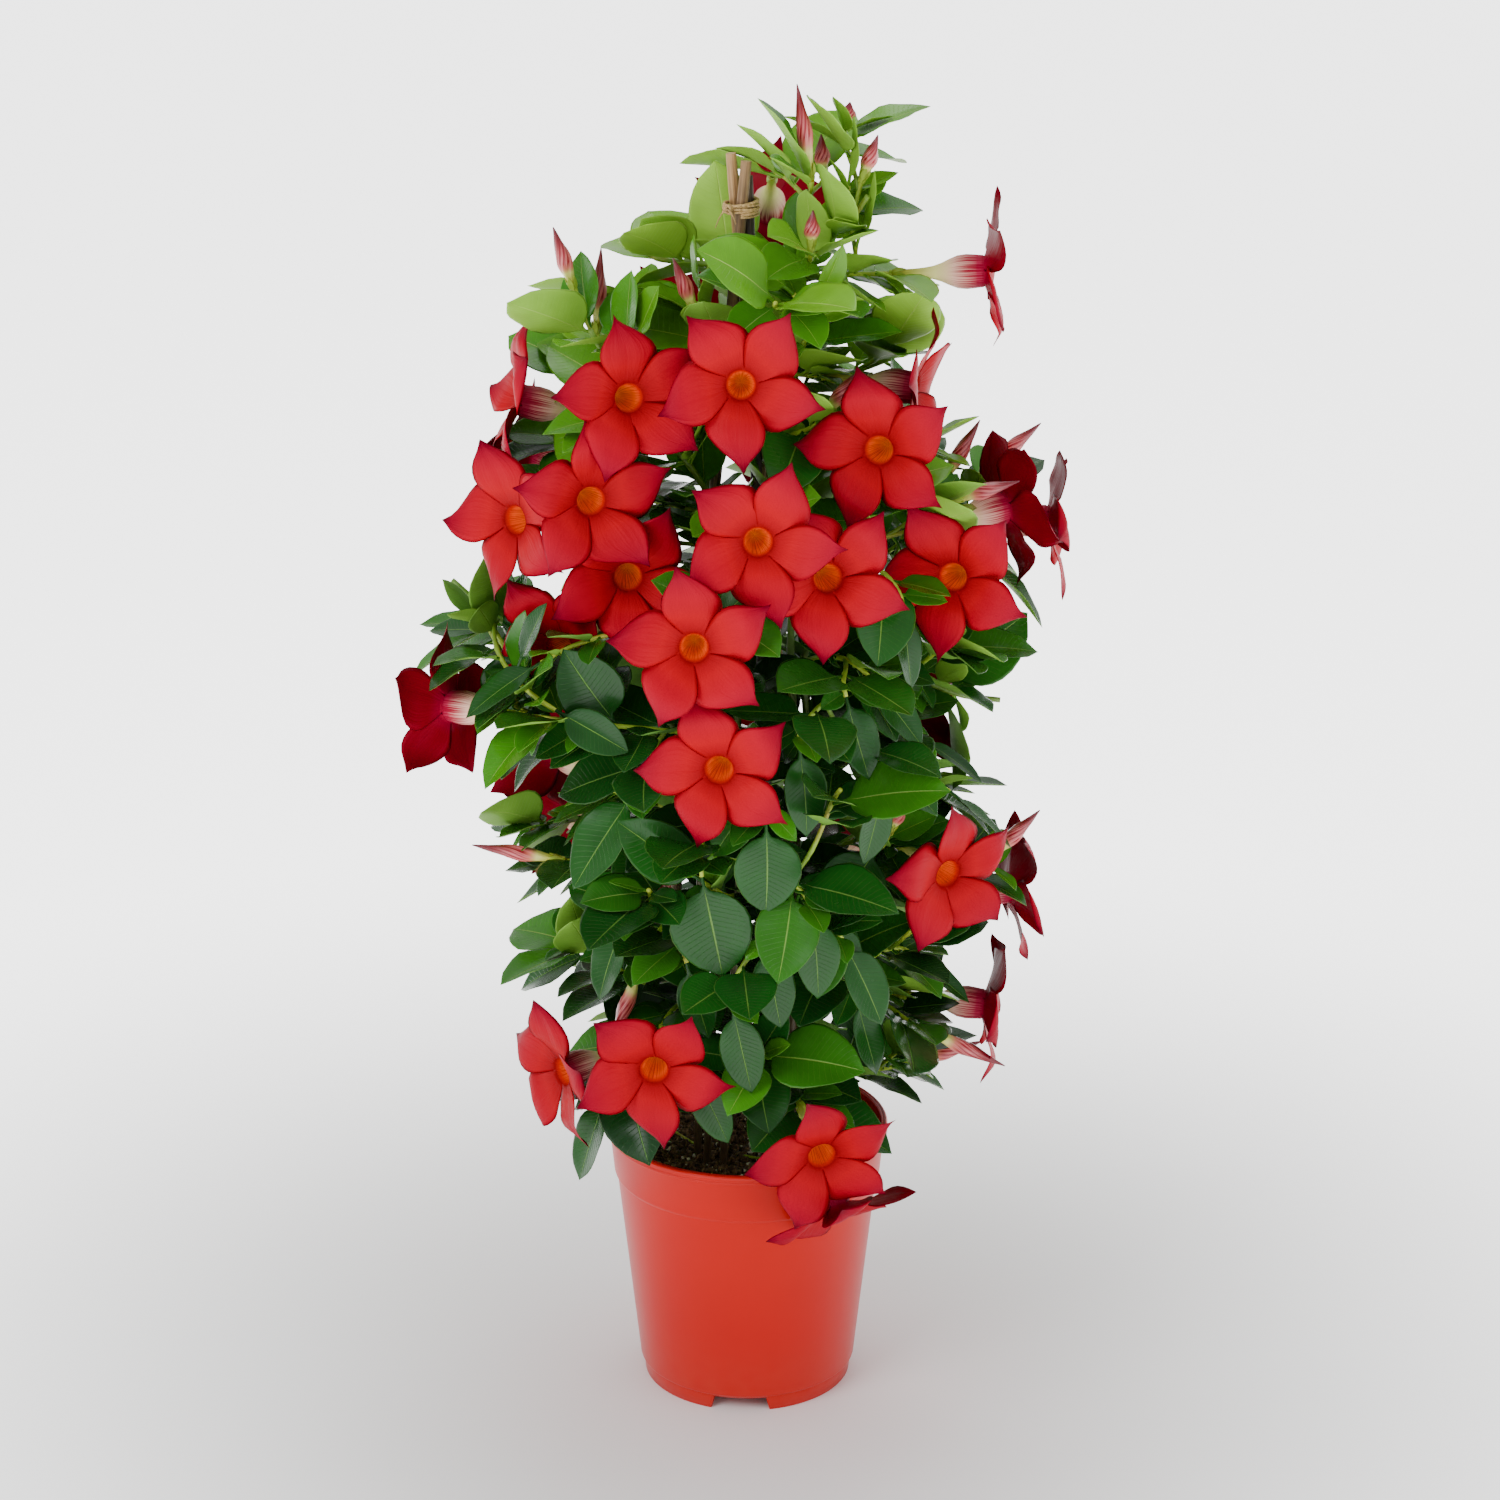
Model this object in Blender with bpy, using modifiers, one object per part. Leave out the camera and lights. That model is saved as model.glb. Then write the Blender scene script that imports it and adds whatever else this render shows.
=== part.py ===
"""A potted mandevilla trained up three tied canes, in metres, +Z up.

The origin is the middle of the pot's foot, on the surface it stands on. The plant's front faces -Y.
Each leafy stem stands in the soil as one solid with its side shoots, leaves, flower stalks and buds.
Each open bloom is a solid of its own that sits on the end of its stalk.
"""

import math
import random

import bmesh
import bpy
import numpy as np
from mathutils import Matrix, Vector, noise
from mathutils.bvhtree import BVHTree

MM = 0.001
GAP = 0.3 * MM
UP = Vector((0, 0, 1))

# The pot, a 15 cm nursery pot
POT_HEIGHT = 145 * MM
RIM_RADIUS = 75 * MM
FOOT_RADIUS = 55.5 * MM
WALL = 1.8 * MM
RIM_HEIGHT = 5 * MM
BAND_HEIGHT = 27 * MM
BAND_STEP = 1.4 * MM
FOOT_HEIGHT = 9.4 * MM
FOOT_STEP = 1.6 * MM
FLOOR_HEIGHT = 8.4 * MM
UNDER_BAND = POT_HEIGHT - BAND_HEIGHT - BAND_STEP
INSIDE_RIM = RIM_RADIUS - 3.6 * MM
INSIDE_BAND = INSIDE_RIM - 3.6 * MM
INSIDE_FOOT = FOOT_RADIUS - 1 * MM
INSIDE_FLOOR = FOOT_RADIUS - 3 * MM
NOTCH_WIDTH = 32 * MM
NOTCH_COUNT = 3
FIRST_NOTCH = -94
ROUND_STEPS = 30

# The soil
SOIL_TOP = 127 * MM
SOIL_RELIEF = 1.6 * MM
HOLE_DEPTH = 22 * MM

# The three canes and their tie
CANE_RADIUS = 2.9 * MM
CANE_RING = 52 * MM
CANE_DEPTH = 50 * MM
CANE_CROSSING = Vector((-3 * MM, 0, 632 * MM))
CROSSING_RADIUS = 3.9 * MM
CANES = {
    "cane_left": {"angle": 187, "top": 655 * MM},
    "cane_front": {"angle": 288, "top": 647 * MM},
    "cane_right": {"angle": 40, "top": 658 * MM},
}
CORD_RADIUS = 1.1 * MM
CORD_TURNS = 2.6
CORD_PITCH = 2.6 * MM
CANE_JOINT_STEP = 150 * MM

# The eye that the plant is laid out for: (u, v) below is a pixel of its 1500 pixel square view
EYE = Vector((1.5 * MM, -1.700, 0.905))
EYE_PITCH = math.radians(18.03)
FOCAL_PIXELS = 3466
VIEW_CENTRE = 750

# The plant
STEM_RADIUS = 2.3 * MM
SHOOT_RADIUS = 1.5 * MM
SHOOT_ROOT = 0.65 * MM
STEM_STEP = 30 * MM
STALK_RADIUS = 1.3 * MM
STEM_RING = 27 * MM
CROSS_LOW = 300 * MM
CROSS_HIGH = 400 * MM
BLADE_THICKNESS = 1.0 * MM
PETIOLE = 0.85 * MM
ROOT = 0.45 * MM
LEAF_LENGTH = 54 * MM
LEAF_WIDTH = 34 * MM
THROAT_RADIUS = 7.5 * MM
TRUMPET = 46 * MM
PETAL_THICKNESS = 1.0 * MM
PETALS = 5
SPARE = 0.5 * MM
STALK_GAP = 0.7 * MM
LEAF_STEP = 52 * MM
LEAF_TRIES = 12
PAIR_OFFSET = 2.6 * MM
SHOOT_COUNT = 24
GOLDEN_ANGLE = 137.5
FLAT_ANGLE = math.radians(0.5)

# Each open bloom: pixel (u, v) of its throat, depth y, the way it faces in degrees from the front
# (to the right, up), and the turn of its petals
BLOOMS = [
    (741, 385, -78, 0, 8, 45),
    (879, 450, -62, -15, 5, 24),
    (629, 398, -55, 22, 8, 20),
    (520, 400, -20, -82, 14, 30),
    (591, 501, -78, 20, 0, 10),
    (628, 577, -97, 5, 0, 50),
    (758, 542, -104, 5, 5, 57),
    (828, 578, -96, 12, 5, 38),
    (694, 648, -118, 0, 5, 19),
    (719, 770, -112, -8, 0, 28),
    (953, 577, -58, -18, 5, 38),
    (915, 388, -22, 75, -4, 12),
    (985, 271, 0, 88, 2, 60),
    (1048, 520, 56, 88, 2, 25),
    (1004, 508, -12, 116, 6, 40),
    (515, 520, -52, -42, 4, 33),
    (540, 460, 28, -128, 10, 5),
    (560, 645, -52, -35, -4, 48),
    (451, 706, -44, -124, -4, 22),
    (563, 752, 34, -150, 6, 30),
    (577, 812, 62, -166, 4, 8),
    (907, 718, 40, 128, 5, 52),
    (948, 874, -52, 34, -5, 16),
    (1008, 888, 18, 104, 0, 44),
    (984, 1004, -14, 84, -5, 30),
    (654, 1070, -104, -4, -5, 50),
    (562, 1072, -62, -58, -5, 14),
    (822, 1156, -116, 14, -12, 25),
    (768, 210, 46, 165, -38, 18),
    (690, 330, 96, 172, 6, 40),
    (800, 470, 116, 186, 4, 12),
    (850, 640, 120, 160, 2, 35),
    (730, 760, 130, 184, -2, 20),
    (860, 850, 100, 150, -4, 55),
    (650, 930, 114, 204, -6, 28),
    (836, 1206, -104, 20, -62, 40),
]

# Each bud: pixels of its tip and of its base, and its depth y
BUDS = [
    (797, 84, 811, 177, -8),
    (821, 134, 823, 176, 12),
    (813, 210, 811, 248, -26),
    (878, 135, 862, 180, 0),
    (850, 102, 846, 124, 14),
    (553, 227, 574, 290, -10),
    (601, 248, 596, 334, 0),
    (673, 258, 696, 314, -22),
    (860, 370, 824, 416, -40),
    (1041, 423, 985, 470, 6),
    (980, 420, 942, 483, 8),
    (1020, 481, 950, 500, -30),
    (472, 845, 562, 860, -10),
    (611, 1045, 640, 968, -52),
    (1005, 1066, 925, 1030, -34),
    (983, 1041, 912, 1062, 20),
    (1040, 810, 990, 858, -2),
    (905, 798, 890, 832, -50),
    (655, 860, 668, 905, 92),
    (880, 480, 862, 520, 92),
]

# Each stem: the turn of its foot in degrees, the height where it leaves the canes, and the pixel and
# depth where it ends
STEMS = {
    "stem_1": (240, 440, (590, 330, -30)),
    "stem_2": (264, 575, (868, 196, -12)),
    "stem_3": (215, 340, (452, 580, 4)),
    "stem_4": (320, 585, (640, 250, 24)),
    "stem_5": (344, 400, (1000, 700, -6)),
    "stem_6": (10, 500, (930, 330, 30)),
    "stem_7": (75, 430, (900, 600, 80)),
    "stem_8": (102, 540, (800, 330, 62)),
    "stem_9": (130, 330, (600, 700, 92)),
    "stem_10": (158, 300, (500, 820, 20)),
}

# Each large leaf that stands out in front: pixels of its base and of its tip, its depth y, and how
# wide it is for its length
LARGE_LEAVES = [
    (705, 893, 722, 978, -96, 0.92),
    (690, 873, 618, 822, -92, 0.62),
    (625, 807, 569, 888, -84, 0.60),
    (567, 717, 629, 753, -78, 0.55),
    (551, 716, 495, 766, -58, 0.50),
    (529, 671, 463, 715, -66, 0.48),
    (522, 657, 543, 602, -74, 0.50),
    (766, 838, 766, 915, -104, 0.85),
    (812, 925, 820, 1000, -100, 0.60),
    (850, 955, 885, 1025, -84, 0.60),
    (770, 955, 782, 1030, -100, 0.55),
    (735, 1020, 752, 1095, -100, 0.55),
    (690, 975, 708, 1040, -84, 0.55),
    (700, 1085, 728, 1145, -84, 0.55),
    (620, 935, 596, 1000, -72, 0.60),
    (860, 1010, 880, 1075, -66, 0.55),
    (920, 960, 972, 1000, -38, 0.50),
    (880, 690, 925, 745, -66, 0.60),
    (850, 710, 872, 780, -88, 0.62),
    (800, 760, 808, 838, -100, 0.55),
    (880, 800, 866, 866, -74, 0.55),
    (905, 620, 915, 690, -70, 0.50),
    (930, 745, 985, 780, -34, 0.42),
    (960, 800, 1015, 845, -10, 0.45),
    (600, 1110, 575, 1180, -58, 0.60),
    (860, 235, 880, 170, -10, 0.55),
    (850, 175, 858, 115, 2, 0.50),
    (820, 300, 846, 246, -30, 0.55),
    (782, 285, 720, 234, -30, 0.60),
    (640, 330, 656, 285, -34, 0.90),
    (700, 290, 690, 235, -8, 0.50),
    (475, 610, 440, 580, -8, 0.45),
    (490, 600, 500, 560, 0, 0.45),
]


def colour_of(red, green, blue):
    """The linear colour of a screen colour given from 0 to 255."""
    return tuple((c / 255) ** 2.2 for c in (red, green, blue)) + (1.0,)


def material(name, colour, roughness):
    """A plain Principled material."""
    made = bpy.data.materials.new(name)
    made.use_nodes = True
    shader = made.node_tree.nodes["Principled BSDF"]
    shader.inputs["Base Color"].default_value = colour
    shader.inputs["Roughness"].default_value = roughness
    made.diffuse_color = colour
    return made


def new_object(name, mesh, collection, finish):
    """An object for the mesh, in the collection, with its material."""
    made = bpy.data.objects.new(name, mesh)
    collection.objects.link(made)
    mesh.materials.clear()
    mesh.materials.append(finish)
    return made


def mesh_of(name, points, faces):
    """A mesh from the arrays that a surface function gives."""
    mesh = bpy.data.meshes.new(name)
    mesh.from_pydata([tuple(p) for p in points], [], faces)
    return mesh


def from_photo(u, v, depth):
    """The point in the upright plane y = depth (mm) that the eye sees at the pixel (u, v)."""
    ahead = Vector((0, math.cos(EYE_PITCH), -math.sin(EYE_PITCH)))
    above = Vector((0, math.sin(EYE_PITCH), math.cos(EYE_PITCH)))
    ray = ahead + Vector((1, 0, 0)) * ((u - VIEW_CENTRE) / FOCAL_PIXELS)
    ray += above * ((VIEW_CENTRE - v) / FOCAL_PIXELS)
    return EYE + ray * ((depth * MM - EYE.y) / ray.y)


def facing(right, up):
    """The unit vector that points the given degrees to the right of the front (-Y) and up."""
    right, up = math.radians(right), math.radians(up)
    return Vector((math.sin(right) * math.cos(up), -math.cos(right) * math.cos(up), math.sin(up)))


def smooth_share(value, low, high):
    """A share that grows smoothly from 0 at low to 1 at high."""
    t = min(1.0, max(0.0, (value - low) / (high - low)))
    return t * t * (3 - 2 * t)


def bend(start, leave, arrive, end, count):
    """Points on a cubic curve that leaves start along one vector and comes into end along another."""
    first, last = start + leave, end - arrive
    points = []
    for i in range(count):
        t = i / (count - 1)
        s = 1 - t
        points.append(start * s**3 + first * (3 * s * s * t) + last * (3 * s * t * t) + end * t**3)
    return points


def tube(points, radii, sides, arrive=None):
    """A closed tube: a ring of corners round each point, square to the path, with flat ends.

    The last ring is square to the vector arrive, where one is given.
    """
    corners, faces = [], []
    ahead = (points[1] - points[0]).normalized()
    side = ahead.orthogonal().normalized()
    for i, point in enumerate(points):
        before, after = points[max(i - 1, 0)], points[min(i + 1, len(points) - 1)]
        turned = (after - before).normalized()
        if arrive and i == len(points) - 1:
            turned = arrive
        side = (side - turned * side.dot(turned)).normalized()
        across = turned.cross(side)
        for k in range(sides):
            angle = 2 * math.pi * k / sides
            corners.append(point + (side * math.cos(angle) + across * math.sin(angle)) * radii[i])
    for i in range(len(points) - 1):
        for k in range(sides):
            a, b = i * sides + k, i * sides + (k + 1) % sides
            faces += [(a, b, b + sides), (a, b + sides, a + sides)]
    last = len(corners) - sides
    for k in range(1, sides - 1):
        faces += [(0, k + 1, k), (last, last + k, last + k + 1)]
    return corners, faces


def leaf(base, along, normal, length, width, droop, swell=0.0):
    """A leaf on its petiole: a blade folded along its midrib and arched down towards its pointed tip.

    Each row across it has its left edge, the top and the underside of the midrib, and its right edge.
    """
    across = along.cross(normal).normalized()
    normal = across.cross(along).normalized()
    half_thick = BLADE_THICKNESS / 2 + swell
    rows = [(0.0, ROOT, 0.0), (0.16, PETIOLE, 0.0), (0.44, width * 0.49, 0.12),
            (0.76, width * 0.40, 0.10)]
    corners, faces = [], []
    for t, half_width, fold in rows:
        middle = base + along * (length * t) - normal * (droop * length * t * abs(t))
        spread = half_width + swell
        lift = normal * (fold * half_width * 2)
        thick = half_width if fold == 0.0 else half_thick
        corners += [middle - across * spread + lift, middle + normal * thick,
                    middle + across * spread + lift, middle - normal * thick]
    corners.append(base + along * length - normal * (droop * length))
    for i in range(len(rows) - 1):
        for k in range(4):
            a, b = i * 4 + k, i * 4 + (k + 1) % 4
            if k % 2 == 0:
                faces += [(a, b, b + 4), (a, b + 4, a + 4)]
            else:
                faces += [(a, b, a + 4), (b, b + 4, a + 4)]
    last = (len(rows) - 1) * 4
    for k in range(4):
        faces.append((last + k, last + (k + 1) % 4, last + 4))
    faces += [(3, 2, 1), (3, 1, 0)]
    return corners, faces


def bloom(seed, roll, swell=0.0):
    """A trumpet flower round +Z: five lopsided petals on the throat's ring, a funnel and a narrow tube.

    A petal is rows of left edge, top and underside of its middle, and right edge, out to a pointed tip.
    The throat's ring is doubled, with its upper corners on the funnel's inside, its lower ones outside.
    """
    draw = random.Random(f"bloom {seed}")
    steps = 2 * PETALS
    half_thick = PETAL_THICKNESS / 2 + swell
    inner = THROAT_RADIUS - swell
    outer = THROAT_RADIUS + 0.9 * MM + swell

    def ring(radius, height, count, start=0.0):
        turns = [math.radians(roll - 36 + start + 360 * k / count) for k in range(count)]
        return [Vector((radius * math.cos(a), radius * math.sin(a), height)) for a in turns]

    corners = ring(inner, 0.0, steps) + ring(outer, -PETAL_THICKNESS - swell, steps)
    faces = []
    for p in range(PETALS):
        angle = math.radians(roll + 72 * p)
        out = Vector((math.cos(angle), math.sin(angle), 0))
        aside = Vector((-math.sin(angle), math.cos(angle), 0))
        curl = draw.uniform(-7, 5) * MM
        rise = draw.uniform(-1.5, 2.5) * MM
        rows = [(19, -12.5, 13.5, 4.5, 0.2), (31, -6, 12.5, 7.0, 0.8)]
        base = len(corners)
        for reach, left, right, height, share in rows:
            middle = out * (reach * MM) + UP * (height * MM + rise * share)
            low = UP * (-1.6 * MM)
            high = UP * (2.4 * MM + curl * share * 0.5)
            corners.append(middle + aside * (left * MM - swell) + low)
            corners.append(middle + aside * (1.5 * MM) + UP * half_thick)
            corners.append(middle + aside * (right * MM + swell) + high)
            corners.append(middle + aside * (1.5 * MM) - UP * half_thick)
        corners.append(out * (41.5 * MM + swell) + aside * (8 * MM) + UP * (6 * MM + rise + curl))
        a, b, c = 2 * p, 2 * p + 1, (2 * p + 2) % steps
        l, m, r, n = base, base + 1, base + 2, base + 3
        faces += [(a, l, m), (a, m, b), (b, m, r), (b, r, c)]
        a, b, c = a + steps, b + steps, c + steps
        faces += [(a, n, l), (a, b, n), (b, r, n), (b, c, r)]
        faces += [(a - steps, a, l), (c - steps, r, c)]
        for i in range(len(rows) - 1):
            l, m, r, n = (base + 4 * i + k for k in range(4))
            faces += [(l, m + 4, m), (l, l + 4, m + 4), (m, m + 4, r), (r, m + 4, r + 4)]
            faces += [(l, n, n + 4), (l, n + 4, l + 4), (n, r, n + 4), (r, r + 4, n + 4)]
        l, m, r, n = (base + 4 * (len(rows) - 1) + k for k in range(4))
        tip = base + 4 * len(rows)
        faces += [(l, tip, m), (m, tip, r), (l, n, tip), (n, r, tip)]

    def skin(upper, lower, upper_count, lower_count):
        """Faces between two rings, where the lower one has as many corners or half as many."""
        made = []
        for k in range(upper_count):
            a, b = upper + k, upper + (k + 1) % upper_count
            c = lower + k * lower_count // upper_count
            d = lower + (k + 1) * lower_count // upper_count % lower_count
            made.append((a, c, b))
            if c != d:
                made.append((b, c, d))
        return made

    first = len(corners)
    corners += ring(8.6 * MM + swell, -13 * MM, PETALS, 18)
    corners += ring(3.3 * MM + swell, -25 * MM, PETALS, 18)
    corners += ring(2.0 * MM + swell, -TRUMPET, PETALS, 18)
    corners.append(Vector((0, 0, -20 * MM)))
    neck, end, well = first + PETALS, first + 2 * PETALS, first + 3 * PETALS
    faces += skin(steps, first, steps, PETALS)
    faces += skin(first, neck, PETALS, PETALS)
    faces += skin(neck, end, PETALS, PETALS)
    faces.append(tuple(range(end, end + PETALS))[::-1])
    faces += [(k, (k + 1) % steps, well) for k in range(steps)]
    return corners, faces


def bud(base, tip, swell=0.0):
    """A slender closed bud: a spindle with a swollen belly and a drawn out tip."""
    shares = (-0.05, 0.12, 0.38, 0.68, 1.0)
    radii = (2.0 * MM, 2.3 * MM, 3.1 * MM, 1.8 * MM, 0.3 * MM)
    points = [base + (tip - base) * share for share in shares]
    return tube(points, [r + swell for r in radii], 4)


def cane_ends(name):
    """The middle of a cane's foot, and of its top."""
    angle = math.radians(CANES[name]["angle"])
    foot = Vector((math.cos(angle), math.sin(angle), 0)) * CANE_RING + UP * SOIL_TOP
    passing = Vector((-math.sin(angle), math.cos(angle), 0)) * CROSSING_RADIUS + CANE_CROSSING
    slope = (passing - foot) / (passing.z - foot.z)
    return foot - slope * CANE_DEPTH, passing + slope * (CANES[name]["top"] - passing.z)


def stem_point(angle, height):
    """Where a stem stands at a height: inside the canes low down, and wound about them higher up."""
    cone = CANE_RING * (CANE_CROSSING.z - height) / (CANE_CROSSING.z - SOIL_TOP)
    outside = max(0.0, cone) + 7.5 * MM + 7 * MM * smooth_share(height, 450 * MM, 590 * MM)
    share = smooth_share(height, CROSS_LOW, CROSS_HIGH)
    radius = STEM_RING * (1 - share) + outside * share
    below, above = max(0.0, CROSS_LOW - height), max(0.0, height - CROSS_HIGH)
    turned = math.radians(angle) - below * 2.2 + above * above / (above + 0.06) * 14
    middle = CANE_CROSSING.x * smooth_share(height, SOIL_TOP, CANE_CROSSING.z)
    return Vector((middle + radius * math.cos(turned), radius * math.sin(turned), height))


def stem_path(name):
    """A stem's points from its foot in the soil, up the canes, and out to its free end."""
    angle, leaves_at, (u, v, depth) = STEMS[name]
    leaves_at *= MM
    foot = stem_point(angle, SOIL_TOP)
    count = round((leaves_at - SOIL_TOP) / STEM_STEP)
    heights = [SOIL_TOP + (leaves_at - SOIL_TOP) * (i + 1) / count for i in range(count)]
    points = [foot - UP * (HOLE_DEPTH - GAP), foot + UP * 2 * MM]
    points += [stem_point(angle, height) for height in heights]
    start, end = points[-1], from_photo(u, v, depth)
    reach = (end - start).length
    ahead = (start - points[-2]).normalized()
    arrive = ((end - start).normalized() + UP * 0.4).normalized()
    return points + bend(start, ahead * reach * 0.4, arrive * reach * 0.3, end, 6)[1:]


class Placed:
    """What is already in place, to keep the rest clear of it."""

    def __init__(self):
        self.lows, self.highs, self.trees, self.owners = [], [], [], []

    def add(self, owner, shape):
        corners, faces = shape
        spread = np.array([tuple(c) for c in corners])
        self.lows.append(spread.min(axis=0))
        self.highs.append(spread.max(axis=0))
        self.trees.append(BVHTree.FromPolygons(corners, faces))
        self.owners.append(owner)

    def forget_last(self):
        for kept in (self.lows, self.highs, self.trees, self.owners):
            kept.pop()

    def clear(self, shape, apart_from=()):
        """Whether a shape crosses nothing, apart from what the named owners hold."""
        corners, faces = shape
        spread = np.array([tuple(c) for c in corners])
        low, high = spread.min(axis=0), spread.max(axis=0)
        near = np.all((np.array(self.lows) < high) & (np.array(self.highs) > low), axis=1)
        tree = BVHTree.FromPolygons(corners, faces)
        for i in np.nonzero(near)[0]:
            if self.owners[i] not in apart_from and self.trees[i].overlap(tree):
                return False
        return True


def moved(shape, matrix):
    """A shape's corners carried by a matrix, with its faces."""
    return [matrix @ corner for corner in shape[0]], shape[1]


def bloom_frame(throat, ahead):
    """The matrix that puts a bloom's throat at a point, facing a direction, with its petals upright."""
    right = UP.cross(ahead).normalized()
    return Matrix.Translation(throat) @ Matrix((right, ahead.cross(right), ahead)).transposed().to_4x4()


def bloom_tries(u, v, depth, right, up):
    """A bloom's possible places: first the one in the table, then slid along the line of sight, turned."""
    for turn in (0, 9, -9, 18, -18):
        for slide in (0, 6, -6, 12, -12, 18, -18, 25, -25, 33, -33):
            yield bloom_frame(from_photo(u, v, depth + slide), facing(right + turn, up + turn * 0.4))


def shoot_tries(paths, end, heading, roots, count=4):
    """Ways for a shoot to reach its end: from the points on the nearest paths, mostly from below."""
    found = []
    for owner, path in paths:
        for i in range(1, len(path) - 1):
            root = path[i]
            if root.z < SOIL_TOP + 20 * MM or any((root - other).length < 7 * MM for other in roots):
                continue
            offset = end - root
            swerve = 1 - offset.normalized().dot(heading)
            if offset.length > 14 * MM and swerve < 0.7:
                cost = offset.length * (1 + swerve) + 1.6 * max(0.0, root.z - end.z + 8 * MM)
                found.append((cost, owner, i, root, path[i + 1] - path[i - 1]))
    found.sort(key=lambda item: item[:3])
    for _, owner, i, root, ahead in found[:26]:
        reach = (end - root).length
        leave = (ahead.normalized() * 0.5 + (end - root).normalized()).normalized()
        yield owner, bend(root, leave * reach * 0.35, heading * reach * 0.35, end, count)


def leaf_tries(name, index, path, share, length, width):
    """A leaf's possible poses at a place on its path: each a little more turned, and smaller later on."""
    place = share * (len(path) - 1)
    i = min(int(place), len(path) - 2)
    ahead = (path[i + 1] - path[i]).normalized()
    base = path[i].lerp(path[i + 1], place - i) - ahead * (index % 2) * PAIR_OFFSET
    level = ahead.cross(UP)
    level = level.normalized() if level.length > 0.2 else Vector((1, 0, 0))
    outward = Vector((base.x, base.y, 0.02)).normalized()
    for attempt in range(LEAF_TRIES):
        draw = random.Random(f"{name} {index} {attempt}")
        turn = math.radians(90 * (index // 2 % 2) + 180 * (index % 2) + draw.uniform(-40, 40))
        aside = Matrix.Rotation(turn, 3, ahead) @ level
        along = (aside + ahead * draw.uniform(0.1, 0.7) + outward * draw.uniform(0.3, 0.9)
                 + UP * draw.uniform(-0.35, 0.3)).normalized()
        normal = (UP * draw.uniform(0.5, 1.0) + outward * draw.uniform(0.2, 0.9)).normalized()
        size = draw.uniform(0.85, 1.15) * (1 - 0.035 * attempt)
        yield base, along, normal, length * size, width * size, draw.uniform(0.02, 0.26)


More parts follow.
